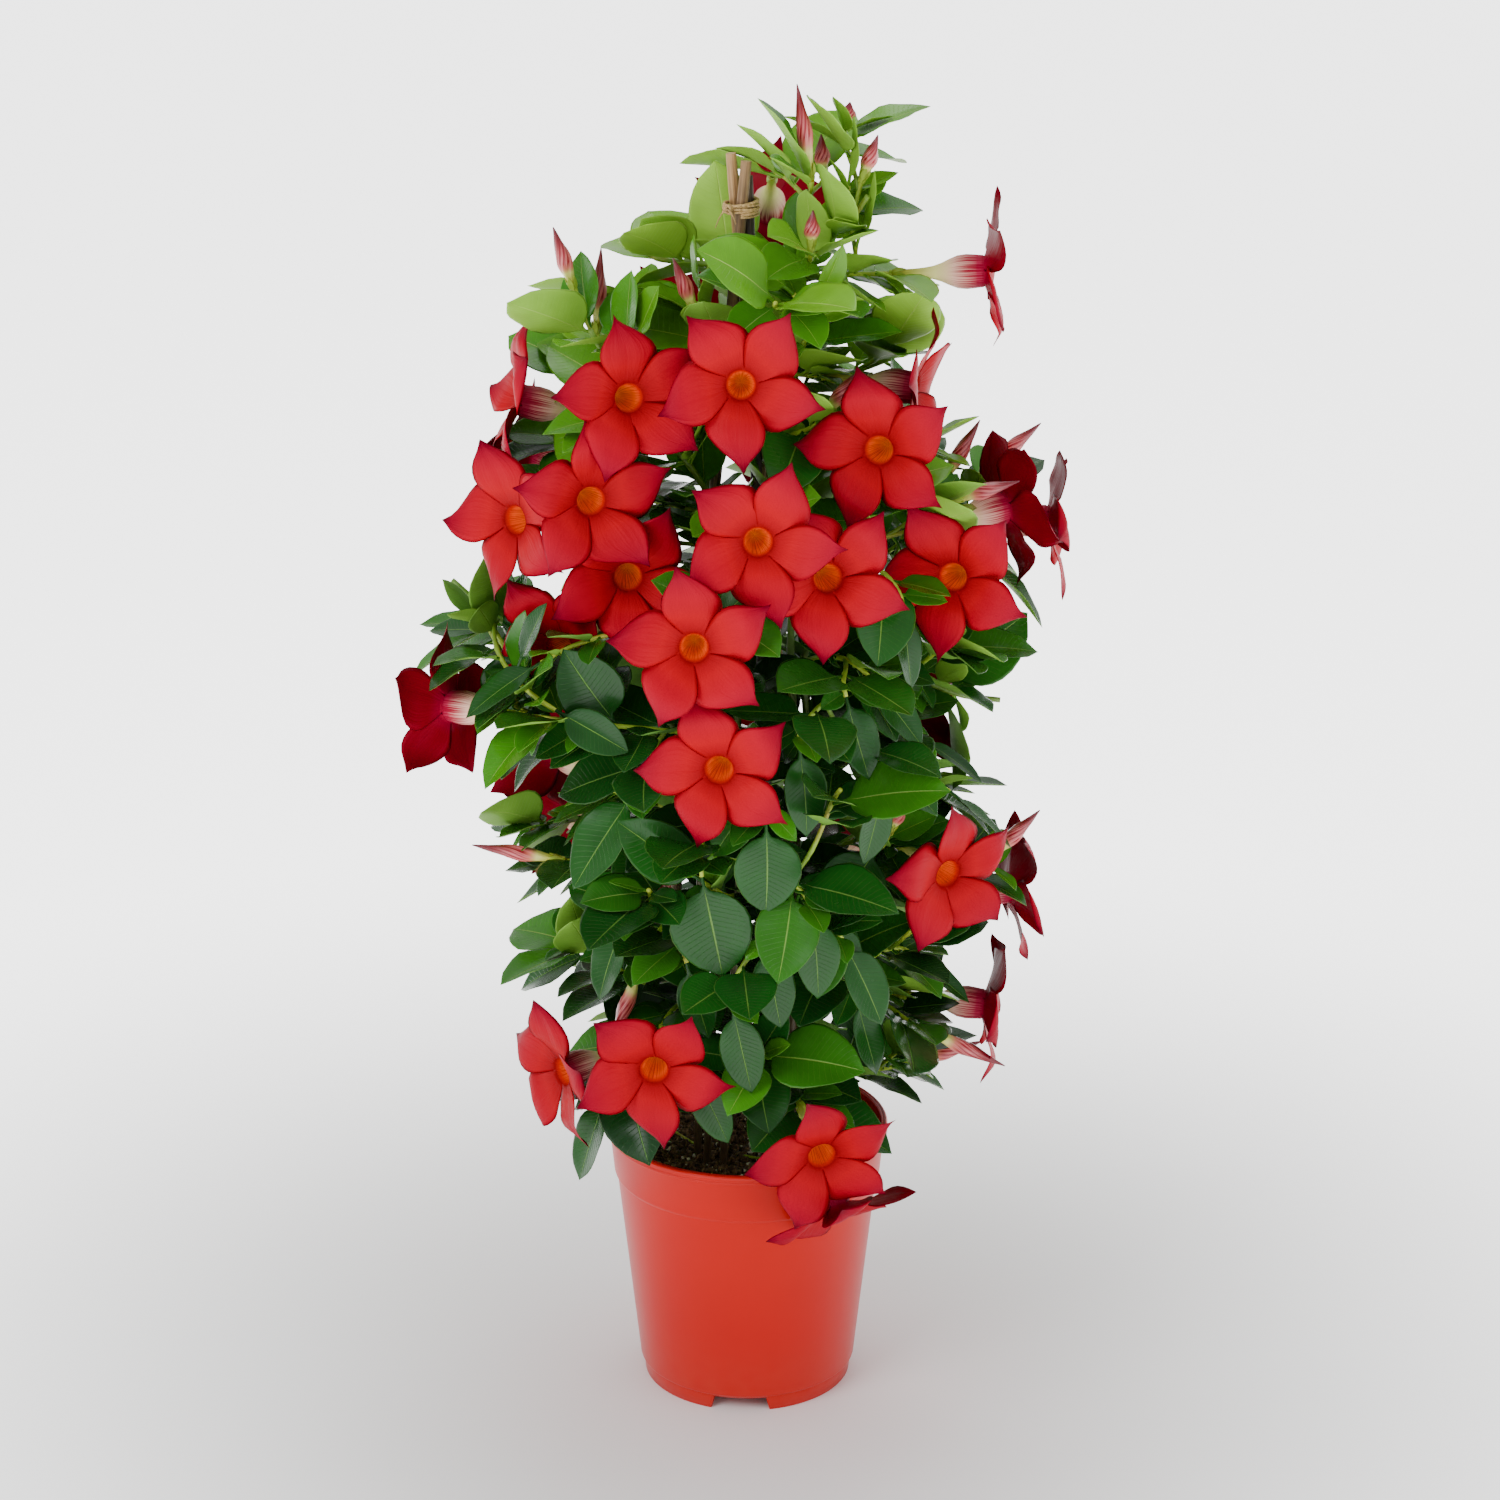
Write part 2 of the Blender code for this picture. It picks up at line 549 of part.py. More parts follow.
def grow():
    """Where all that grows goes: the blooms' frames, and each stem's shapes, every one kept clear."""
    placed = Placed()
    pot_side = [Vector((0, 0, z)) for z in (0.0, POT_HEIGHT - RIM_HEIGHT, POT_HEIGHT)]
    placed.add("pot", tube(pot_side, (FOOT_RADIUS, RIM_RADIUS, RIM_RADIUS), ROUND_STEPS))
    for name in CANES:
        foot, top = cane_ends(name)
        foot = foot.lerp(top, (SOIL_TOP - foot.z) / (top.z - foot.z))
        placed.add(name, tube([foot, top], [CANE_RADIUS + SPARE] * 2, 8))
    placed.add("tie", tube([CANE_CROSSING - UP * 6 * MM, CANE_CROSSING + UP * 6 * MM], [11 * MM] * 2, 8))

    paths, leafy, shapes, roots = [], set(), {name: [] for name in STEMS}, []

    def add_path(node, points, radii, sides, arrive=None):
        shapes[node].append(tube(points, radii, sides, arrive))
        placed.add(len(paths), shapes[node][-1])
        paths.append((node, points))

    for name in STEMS:
        points = stem_path(name)
        thinner = (STEM_RADIUS - SHOOT_RADIUS) / (len(points) - 1)
        taper = [STEM_RADIUS - thinner * i for i in range(len(points))]
        leafy.add(len(paths))
        add_path(name, points, taper, 3)

    def add_shoot(end, heading, radius):
        """Grow a shoot to an end. Returns the node it is part of, or None where no way there is clear."""
        for parent, points in shoot_tries([(i, p) for i, (_, p) in enumerate(paths)], end, heading, roots):
            past_root = [points[0].lerp(points[1], 0.12)] + points[1:]
            test = tube(past_root, [radius + SPARE] * len(past_root), 3)
            if placed.clear(test, (parent,)):
                node = paths[parent][0]
                roots.append(points[0])
                add_path(node, points, [SHOOT_ROOT] + [radius] * (len(points) - 1), 3, heading)
                return node
        return None

    blooms = {}
    for number, (u, v, depth, right, up, roll) in enumerate(BLOOMS, 1):
        for frame in bloom_tries(u, v, depth, right, up):
            if not placed.clear(moved(bloom(number, roll, SPARE), frame)):
                continue
            placed.add("bloom", moved(bloom(number, roll), frame))
            end, ahead = frame @ Vector((0, 0, -TRUMPET - STALK_GAP)), frame.to_3x3() @ UP
            if add_shoot(end, ahead, STALK_RADIUS):
                blooms[f"bloom_{number:02}"] = (frame, number, roll)
                if number % 2:
                    leafy.add(len(paths) - 1)
                break
            placed.forget_last()

    for tip_u, tip_v, base_u, base_v, depth in BUDS:
        for slide in (0, 6, -6, 12, -12, 20, -20):
            tip, base = from_photo(tip_u, tip_v, depth + slide), from_photo(base_u, base_v, depth + slide)
            if not placed.clear(bud(base, tip, SPARE)):
                continue
            node = add_shoot(base, (tip - base).normalized(), STALK_RADIUS)
            if node:
                shapes[node].append(bud(base, tip))
                placed.add("bud", shapes[node][-1])
                break

    for base_u, base_v, tip_u, tip_v, depth, ratio in LARGE_LEAVES:
        for slide in (0, 6, -6, 12, -12, 20, -20):
            base = from_photo(base_u, base_v, depth + slide)
            tip = from_photo(tip_u, tip_v, depth + slide - 6)
            along, length = (tip - base).normalized(), (tip - base).length
            normal = (Vector((base.x, base.y, 0)).normalized() + UP * 0.6).normalized()
            start = base - along * length * 0.2
            args = (start, along, normal, length * 1.2, length * ratio, 0.06)
            if not placed.clear(leaf(*args, SPARE)):
                continue
            node = add_shoot(start + along * 0.5 * MM, along, STALK_RADIUS)
            if node:
                shapes[node].append(leaf(*args))
                placed.add("leaf", shapes[node][-1])
                break

    for i in range(SHOOT_COUNT):
        height = 175 * MM + 430 * MM * (i + 0.5) / SHOOT_COUNT
        reach = (62 + 46 * math.sin(math.pi * min(1, (height / MM - 120) / 480))) * MM
        angle = math.radians(GOLDEN_ANGLE * i)
        outward = Vector((math.cos(angle), math.sin(angle), 0))
        for shift in (0, 8, -8, 16, -16):
            end = outward * reach + UP * (height + shift * MM)
            if add_shoot(end, (outward + UP * 0.7).normalized(), SHOOT_RADIUS):
                leafy.add(len(paths) - 1)
                break

    for i, (node, points) in enumerate(paths):
        length = sum((b - a).length for a, b in zip(points, points[1:]))
        first = 0.5 if i < len(STEMS) else 0.2
        pairs = round(length * (1 - first) / LEAF_STEP) if i in leafy else 0
        for k in range(2 * pairs):
            share = first + (0.93 - first) * (k // 2 + 0.9) / pairs
            for args in leaf_tries(f"{node} {i}", k, points, share, LEAF_LENGTH, LEAF_WIDTH):
                if placed.clear(leaf(*args, SPARE), (i,)):
                    shapes[node].append(leaf(*args))
                    placed.add("leaf", shapes[node][-1])
                    break
    return blooms, shapes


def fuse(name, pieces, collection, finish):
    """One solid from overlapping closed shapes, by a union of the first with all the others."""
    joined = new_object(name, mesh_of(name, *pieces[0]), collection, finish)
    others = bpy.data.collections.new(name + "_pieces")
    bpy.context.scene.collection.children.link(others)
    for i, piece in enumerate(pieces[1:]):
        new_object(f"{name}_piece_{i}", mesh_of(name, *piece), others, finish)
    union = joined.modifiers.new("Joined", "BOOLEAN")
    union.operation = "UNION"
    union.operand_type = "COLLECTION"
    union.collection = others
    union.solver = "MANIFOLD"
    bpy.context.view_layer.update()
    mesh = bpy.data.meshes.new_from_object(joined.evaluated_get(bpy.context.evaluated_depsgraph_get()))
    tidy_union(mesh)
    joined.modifiers.remove(union)
    joined.data = mesh
    for piece in list(others.objects):
        bpy.data.objects.remove(piece)
    bpy.data.collections.remove(others)
    return joined


def tidy_union(mesh):
    """Join the flat faces that a union leaves cut up, and drop loose scraps and sealed hollows."""
    tidied = bmesh.new()
    tidied.from_mesh(mesh)
    bmesh.ops.dissolve_limit(tidied, angle_limit=FLAT_ANGLE, verts=tidied.verts, edges=tidied.edges)
    bmesh.ops.triangulate(tidied, faces=tidied.faces)
    islands, seen = [], set()
    for first in tidied.verts:
        if first in seen:
            continue
        island, waiting = [], [first]
        seen.add(first)
        while waiting:
            vertex = waiting.pop()
            island.append(vertex)
            for edge in vertex.link_edges:
                other = edge.other_vert(vertex)
                if other not in seen:
                    seen.add(other)
                    waiting.append(other)
        islands.append(island)
    islands.sort(key=len)
    for island in islands[:-1]:
        bmesh.ops.delete(tidied, geom=island, context="VERTS")
    tidied.to_mesh(mesh)
    tidied.free()


def turned(name, profile, collection, finish):
    """A solid turned round the Z axis from a profile of (radius, height), run down its outer side."""
    mesh = bpy.data.meshes.new(name)
    edges = [(i, i + 1) for i in range(len(profile) - 1)]
    if profile[0][0] > 0:
        edges.append((len(profile) - 1, 0))
    mesh.from_pydata([(radius, 0, height) for radius, height in profile], edges, [])
    made = new_object(name, mesh, collection, finish)
    screw = made.modifiers.new("Turned", "SCREW")
    screw.steps = ROUND_STEPS
    screw.render_steps = ROUND_STEPS
    screw.use_merge_vertices = True
    screw.merge_threshold = 0.00001
    return made


def pot_inside(height):
    """The pot's inner radius at a height."""
    heights, radii = zip((FLOOR_HEIGHT, INSIDE_FLOOR), (FOOT_HEIGHT, INSIDE_FOOT),
                         (UNDER_BAND, INSIDE_BAND), (POT_HEIGHT, INSIDE_RIM))
    return float(np.interp(height, heights, radii))


def make_pot(collection, cutters):
    """The thin plastic pot: a rolled rim, a band under it, a tapered wall and a notched foot."""
    finish = material("pot_plastic", colour_of(235, 52, 38), 0.35)
    wall_top = INSIDE_RIM + WALL
    profile = [
        (INSIDE_RIM, POT_HEIGHT),
        (RIM_RADIUS - 0.8 * MM, POT_HEIGHT),
        (RIM_RADIUS, POT_HEIGHT - 0.8 * MM),
        (RIM_RADIUS, POT_HEIGHT - RIM_HEIGHT),
        (wall_top, POT_HEIGHT - RIM_HEIGHT - 0.6 * MM),
        (wall_top - 2.2 * MM, POT_HEIGHT - BAND_HEIGHT),
        (INSIDE_BAND + WALL, UNDER_BAND),
        (INSIDE_FOOT + WALL + FOOT_STEP, FOOT_HEIGHT),
        (INSIDE_FOOT + WALL, FOOT_HEIGHT - 1 * MM),
        (FOOT_RADIUS, 0),
        (INSIDE_FLOOR, 0),
        (INSIDE_FLOOR, FLOOR_HEIGHT - WALL),
        (0, FLOOR_HEIGHT - WALL),
        (0, FLOOR_HEIGHT),
        (INSIDE_FLOOR, FLOOR_HEIGHT),
        (INSIDE_FOOT, FOOT_HEIGHT),
        (INSIDE_BAND, UNDER_BAND),
    ]
    start = profile.index((0, FLOOR_HEIGHT))
    pot = turned("pot", profile[start:] + profile[:start], collection, finish)
    for k in range(NOTCH_COUNT):
        bpy.ops.mesh.primitive_cube_add(size=1)
        notch = bpy.context.object
        notch.name = f"notch_{k + 1}"
        angle = math.radians(FIRST_NOTCH + 360 * k / NOTCH_COUNT)
        notch.location = (FOOT_RADIUS * math.cos(angle), FOOT_RADIUS * math.sin(angle), 0)
        notch.rotation_euler = (0, 0, angle)
        notch.scale = (12 * MM, NOTCH_WIDTH, 2 * (FLOOR_HEIGHT - WALL - 0.8 * MM))
        notch.hide_render = True
        notch.display_type = "WIRE"
        for home in list(notch.users_collection):
            home.objects.unlink(notch)
        cutters.objects.link(notch)
    cut = pot.modifiers.new("Notches", "BOOLEAN")
    cut.operand_type = "COLLECTION"
    cut.collection = cutters
    cut.operation = "DIFFERENCE"
    return pot


def make_soil(stems, collection, cutters, finish):
    """The potting soil: it fills the pot, uneven on top, with a hole for the foot of each stem and cane."""
    high = pot_inside(SOIL_TOP) - GAP
    profile = [(0, SOIL_TOP)] + [(high * share, SOIL_TOP) for share in (0.4, 0.72, 0.94)]
    profile += [(pot_inside(z) - GAP, z) for z in (SOIL_TOP - 2.5 * MM, UNDER_BAND, FOOT_HEIGHT)]
    profile += [(pot_inside(FLOOR_HEIGHT) - 2 * GAP, FLOOR_HEIGHT + GAP), (0, FLOOR_HEIGHT + GAP)]
    soil = turned("soil", profile, collection, finish)
    mesh = bpy.data.meshes.new_from_object(soil.evaluated_get(bpy.context.evaluated_depsgraph_get()))
    soil.modifiers.clear()
    soil.data = mesh
    for vertex in mesh.vertices:
        if vertex.co.z > SOIL_TOP - 1 * MM:
            vertex.co.z += SOIL_RELIEF * (noise.noise(vertex.co * 70) - 0.2)
    for name in stems:
        add_hole(name, *stem_path(name)[1::-1], STEM_RADIUS + 0.7 * MM, cutters, finish)
    for name in CANES:
        foot, top = cane_ends(name)
        foot -= (top - foot).normalized() * GAP
        add_hole(name, foot.lerp(top, 0.3), foot, CANE_RADIUS + 0.85 * MM, cutters, finish)
    cut = soil.modifiers.new("Holes", "BOOLEAN")
    cut.operand_type = "COLLECTION"
    cut.collection = cutters
    cut.operation = "DIFFERENCE"
    return soil


def add_hole(name, top, foot, radius, cutters, finish):
    """A cutter for the hole that a stem or cane stands in: six sides, open above the soil."""
    above = top + (top - foot).normalized() * 12 * MM
    hole = new_object(f"hole_{name}", mesh_of("hole", *tube([foot, above], [radius] * 2, 6)), cutters, finish)
    hole.hide_render = True
    hole.display_type = "WIRE"


def make_cane(name, collection, finish):
    """A split bamboo cane, with a raised ring at each joint of the bamboo."""
    foot, top = cane_ends(name)
    length = (top - foot).length
    joints = range(1, int(length / CANE_JOINT_STEP) + 1)
    places = [(0.0, 0.0)]
    for joint in joints:
        middle = CANE_JOINT_STEP * (joint - 0.35)
        places += [(middle - 3 * MM, 0.0), (middle, 0.35 * MM), (middle + 3 * MM, 0.0)]
    places.append((length, 0.0))
    points = [foot.lerp(top, along / length) for along, _ in places]
    radii = [CANE_RADIUS + raised for _, raised in places]
    return new_object(name, mesh_of(name, *tube(points, radii, 6)), collection, finish)


def make_tie(collection, finish):
    """The raffia tie: a cord wound round the three canes where they cross, with both ends tucked up."""
    turns = round(CORD_TURNS * 10)
    inner = CROSSING_RADIUS + CANE_RADIUS + 0.45 * MM
    points = []
    for i in range(turns + 1):
        angle = math.radians(-90 + 36 * i)
        rise = (i - turns / 2) * CORD_PITCH / 10
        radius = inner + CORD_RADIUS
        points.append(CANE_CROSSING + Vector((radius * math.cos(angle), radius * math.sin(angle), rise)))
    cord = mesh_of("tie", *tube(points, [CORD_RADIUS] * len(points), 4))
    return new_object("tie", cord, collection, finish)


def main():
    """Build the whole part."""
    for old in list(bpy.data.objects):
        bpy.data.objects.remove(old)
    parts = bpy.data.collections.new("mandevilla")
    cutters = {name: bpy.data.collections.new(name) for name in ("notches", "holes")}
    for collection in (parts, *cutters.values()):
        bpy.context.scene.collection.children.link(collection)
    green = material("leaf_green", colour_of(52, 104, 40), 0.4)
    red = material("petal_red", colour_of(225, 10, 35), 0.45)
    brown = material("soil", colour_of(58, 42, 30), 0.95)
    tan = material("bamboo", colour_of(178, 150, 108), 0.6)
    straw = material("raffia", colour_of(196, 172, 128), 0.7)
    make_pot(parts, cutters["notches"])
    make_soil(STEMS, parts, cutters["holes"], brown)
    for name in CANES:
        make_cane(name, parts, tan)
    make_tie(parts, straw)
    blooms, shapes = grow()
    for name, (frame, number, roll) in blooms.items():
        new_object(name, mesh_of(name, *moved(bloom(number, roll), frame)), parts, red)
    for name, pieces in shapes.items():
        fuse(name, pieces, parts, green)


main()
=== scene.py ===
import math
import random

import bmesh
import bpy
import numpy as np
from mathutils import Matrix, Vector
from mathutils.bvhtree import BVHTree


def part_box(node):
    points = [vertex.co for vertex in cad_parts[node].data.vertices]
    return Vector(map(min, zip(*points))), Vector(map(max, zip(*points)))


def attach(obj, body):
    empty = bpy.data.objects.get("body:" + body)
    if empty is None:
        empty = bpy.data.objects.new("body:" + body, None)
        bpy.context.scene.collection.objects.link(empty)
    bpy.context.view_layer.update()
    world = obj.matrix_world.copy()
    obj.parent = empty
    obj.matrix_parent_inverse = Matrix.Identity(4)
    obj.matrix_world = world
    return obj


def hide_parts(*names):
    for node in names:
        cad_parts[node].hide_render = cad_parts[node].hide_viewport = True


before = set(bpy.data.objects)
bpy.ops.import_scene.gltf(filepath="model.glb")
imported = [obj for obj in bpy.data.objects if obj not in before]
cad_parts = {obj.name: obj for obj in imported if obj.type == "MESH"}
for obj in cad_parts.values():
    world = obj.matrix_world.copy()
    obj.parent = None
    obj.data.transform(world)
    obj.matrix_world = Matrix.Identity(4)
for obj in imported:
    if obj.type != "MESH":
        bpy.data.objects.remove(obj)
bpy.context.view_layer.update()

# The pot. A grower's 15 cm pot, moulded in one piece of orange-red plastic: a rolled lip with fine
# rings, a deeper band below it, a tapered wall, and a foot with three notches that let the water out.

MM = 0.001
WELD = 0.002 * MM
POT_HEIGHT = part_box("pot")[1].z
RIM_RADIUS = 75 * MM
FOOT_RADIUS = 55.5 * MM
WALL = 1.8 * MM
RIM_HEIGHT = 5 * MM
BAND_HEIGHT = 27 * MM
BAND_STEP = 1.4 * MM
FOOT_HEIGHT = 9.4 * MM
FOOT_STEP = 1.6 * MM
FLOOR_HEIGHT = 8.4 * MM
UNDER_BAND = POT_HEIGHT - BAND_HEIGHT - BAND_STEP
INSIDE_RIM = RIM_RADIUS - 3.6 * MM
INSIDE_BAND = INSIDE_RIM - 3.6 * MM
INSIDE_FOOT = FOOT_RADIUS - 1 * MM
INSIDE_FLOOR = FOOT_RADIUS - 3 * MM
NOTCH_WIDTH = 32 * MM
NOTCH_HEIGHT = 7.4 * MM
NOTCH_SLOPE = 2 * MM
NOTCH_COUNT = 3
FIRST_NOTCH = -94
NOTCH_LEVEL = FOOT_HEIGHT - 1 * MM

# The lip with its two rings, from inside to outside: each (radius, height) in millimetres
LIP = ((71.4, 140), (71.4, 143.4), (71.7, 144.5), (72.2, 144.9), (72.6, 144.8), (72.9, 144.4),
       (73.2, 144.4), (73.5, 144.8), (74.0, 145), (74.6, 144.7), (75, 144), (75, 142.6),
       (74.7, 142.2), (74.7, 141.8), (75, 141.4), (75, 140.6), (74.6, 140.1), (73.6, 139.9))


def screen(red, green, blue):
    """The linear colour of a screen colour given from 0 to 255."""
    return tuple((c / 255) ** 2.2 for c in (red, green, blue)) + (1.0,)


def put(tree, kind, inputs=None, **settings):
    """A new node: settings are its own properties, inputs a value or another node's output for each."""
    made = tree.nodes.new(kind)
    for key, value in settings.items():
        setattr(made, key, value)
    for key, value in (inputs or {}).items():
        if isinstance(value, bpy.types.NodeSocket):
            tree.links.new(value, made.inputs[key])
        else:
            made.inputs[key].default_value = value
    return made


def maths(tree, operation, a, b=0.0, clamp=False):
    """The output of one sum on a and b."""
    return put(tree, "ShaderNodeMath", {0: a, 1: b}, operation=operation, use_clamp=clamp).outputs[0]


def times(tree, a, b):
    """The output of a times b."""
    return maths(tree, "MULTIPLY", a, b)


def mixed(tree, share, a, b, kind="MIX"):
    """Colour a turned into colour b by the share."""
    node = put(tree, "ShaderNodeMix", {0: share, 6: a, 7: b}, data_type="RGBA", blend_type=kind)
    return node.outputs[2]


def between(tree, value, low, high):
    """A share that goes from 0 at low to 1 at high, smoothly."""
    inputs = {"Value": value, "From Min": low, "From Max": high}
    return put(tree, "ShaderNodeMapRange", inputs, interpolation_type="SMOOTHSTEP").outputs[0]


def noise(tree, where, scale, detail=2.0):
    """A soft random mask over the surface, from 0 to 1."""
    inputs = {"Vector": where, "Scale": scale, "Detail": detail}
    return put(tree, "ShaderNodeTexNoise", inputs).outputs[0]


def mottling_group():
    """Blotches a little lighter and darker than a colour: colour times 1 - amount to 1 + amount."""
    group = bpy.data.node_groups.new("mottling", "ShaderNodeTree")
    for name, kind in (("Color", "NodeSocketColor"), ("Scale", "NodeSocketFloat"),
                       ("Amount", "NodeSocketFloat")):
        group.interface.new_socket(name, in_out="INPUT", socket_type=kind)
    group.interface.new_socket("Color", in_out="OUTPUT", socket_type="NodeSocketColor")
    group.interface.new_socket("Mask", in_out="OUTPUT", socket_type="NodeSocketFloat")
    given = put(group, "NodeGroupInput").outputs
    where = put(group, "ShaderNodeTexCoord").outputs["Object"]
    mask = between(group, noise(group, where, given["Scale"], 4.0), 0.15, 0.85)
    swing = times(group, maths(group, "SUBTRACT", times(group, mask, 2.0), 1.0), given["Amount"])
    colour = mixed(group, 1.0, given["Color"], maths(group, "ADD", swing, 1.0), "MULTIPLY")
    put(group, "NodeGroupOutput", {"Color": colour, "Mask": mask})
    return group


MOTTLING = mottling_group()


def mottled(tree, colour, scale, amount):
    """The colour with blotches, and the blotches' mask."""
    inputs = {"Color": colour, "Scale": scale, "Amount": amount}
    node = put(tree, "ShaderNodeGroup", inputs, node_tree=MOTTLING)
    return node.outputs["Color"], node.outputs["Mask"]


def finish(name, **sockets):
    """A new material with its tree and its shader, whose sockets are set to the given values."""
    made = bpy.data.materials.new(name)
    made.use_nodes = True
    shader = made.node_tree.nodes["Principled BSDF"]
    for key, value in sockets.items():
        shader.inputs[key.replace("_", " ")].default_value = value
    return made, made.node_tree, shader


def wire(tree, shader, colour, roughness=None, height=None, depth=0.0003):
    """Feed the shader its colour, its roughness and a bump of the given depth in metres."""
    tree.links.new(colour, shader.inputs["Base Color"])
    if roughness:
        tree.links.new(roughness, shader.inputs["Roughness"])
    if height:
        bump = put(tree, "ShaderNodeBump", {"Height": height, "Distance": depth, "Strength": 0.8})
        tree.links.new(bump.outputs[0], shader.inputs["Normal"])


def quads(rows, columns):
    """The quads of a grid whose points run along each row in turn, as corner numbers."""
    first = (np.arange(rows - 1)[:, None] * columns + np.arange(columns - 1)).ravel()
    return np.stack([first, first + 1, first + columns + 1, first + columns], axis=1)


def piece(name, skins, material, slot, *nodes, sharp=180):
    """A piece from skins, each (points, uv, mark): arrays of one grid, or of many alike, in metres.

    Grids that meet are welded, which closes seams and poles, and all faces are turned outwards.
    """
    corners, faces, places, marks, used = [], [], [], [], 0
    for points, uv, mark in skins:
        rows, columns = points.shape[-3:-1]
        corners.append(points.reshape(-1, 3))
        count = len(corners[-1]) // (rows * columns)
        own = np.arange(count)[:, None, None] * (rows * columns) + quads(rows, columns)
        faces.append(own.reshape(-1, 4) + used)
        places.append(np.broadcast_to(uv, points.shape[:-1] + (2,)).reshape(-1, 2))
        marks.append(np.broadcast_to(mark, points.shape).reshape(-1, 3))
        used += len(corners[-1])
    corners, faces, places, marks = (np.concatenate(each) for each in (corners, faces, places, marks))
    mesh = bpy.data.meshes.new(name)
    mesh.vertices.add(len(corners))
    mesh.vertices.foreach_set("co", corners.astype(np.float32).ravel())
    mesh.loops.add(faces.size)
    mesh.loops.foreach_set("vertex_index", faces.astype(np.int32).ravel())
    mesh.polygons.add(len(faces))
    mesh.polygons.foreach_set("loop_start", np.arange(0, faces.size, 4, dtype=np.int32))
    mesh.update(calc_edges=True)
    uv_map = mesh.uv_layers.new(name="UVMap")
    uv_map.data.foreach_set("uv", places[faces.ravel()].astype(np.float32).ravel())
    mark_map = mesh.attributes.new("mark", "FLOAT_VECTOR", "CORNER")
    mark_map.data.foreach_set("vector", marks[faces.ravel()].astype(np.float32).ravel())
    welded = bmesh.new()
    welded.from_mesh(mesh)
    bmesh.ops.remove_doubles(welded, verts=welded.verts, dist=WELD)
    bmesh.ops.recalc_face_normals(welded, faces=welded.faces)
    welded.to_mesh(mesh)
    welded.free()
    mesh.shade_smooth()
    if sharp < 180:
        mesh.set_sharp_from_angle(angle=math.radians(sharp))
    mesh.materials.append(material)
    made = bpy.data.objects.new(name, mesh)
    bpy.context.scene.collection.objects.link(made)
    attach(made, "root")
    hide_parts(*nodes)
    return made


def turned_skin(profile, angles):
    """A profile of (radius, height) turned round Z: x = r cos a, y = r sin a, for each angle a."""
    radius, height = (np.array(column)[:, None] for column in zip(*profile))
    points = np.stack([radius * np.cos(angles), radius * np.sin(angles),
                       np.broadcast_to(height, (len(profile), len(angles)))], axis=-1)
    along = np.linspace(0, 1, len(profile))[:, None]
    uv = np.stack(np.broadcast_arrays(angles / (2 * np.pi), along), axis=-1)
    return points, uv


def plastic():
    """Satin moulded plastic: an even orange-red, faintly clouded, with a fine grain from the mould."""
    made, tree, shader = finish("pot_plastic", Specular_IOR_Level=0.22)
    colour, mask = mottled(tree, screen(190, 18, 5), 11.0, 0.05)
    where = put(tree, "ShaderNodeTexCoord").outputs["Object"]
    height = put(tree, "ShaderNodeSeparateXYZ", {0: where}).outputs["Z"]
    scuffs = times(tree, noise(tree, where, 120.0, 6.0), between(tree, height, 0.05, 0.0))
    dusty = mixed(tree, times(tree, scuffs, 0.25), colour, screen(206, 80, 60))
    rough = maths(tree, "ADD", times(tree, mask, 0.06), 0.27)
    wire(tree, shader, dusty, rough, noise(tree, where, 900.0), 0.00003)
    return made


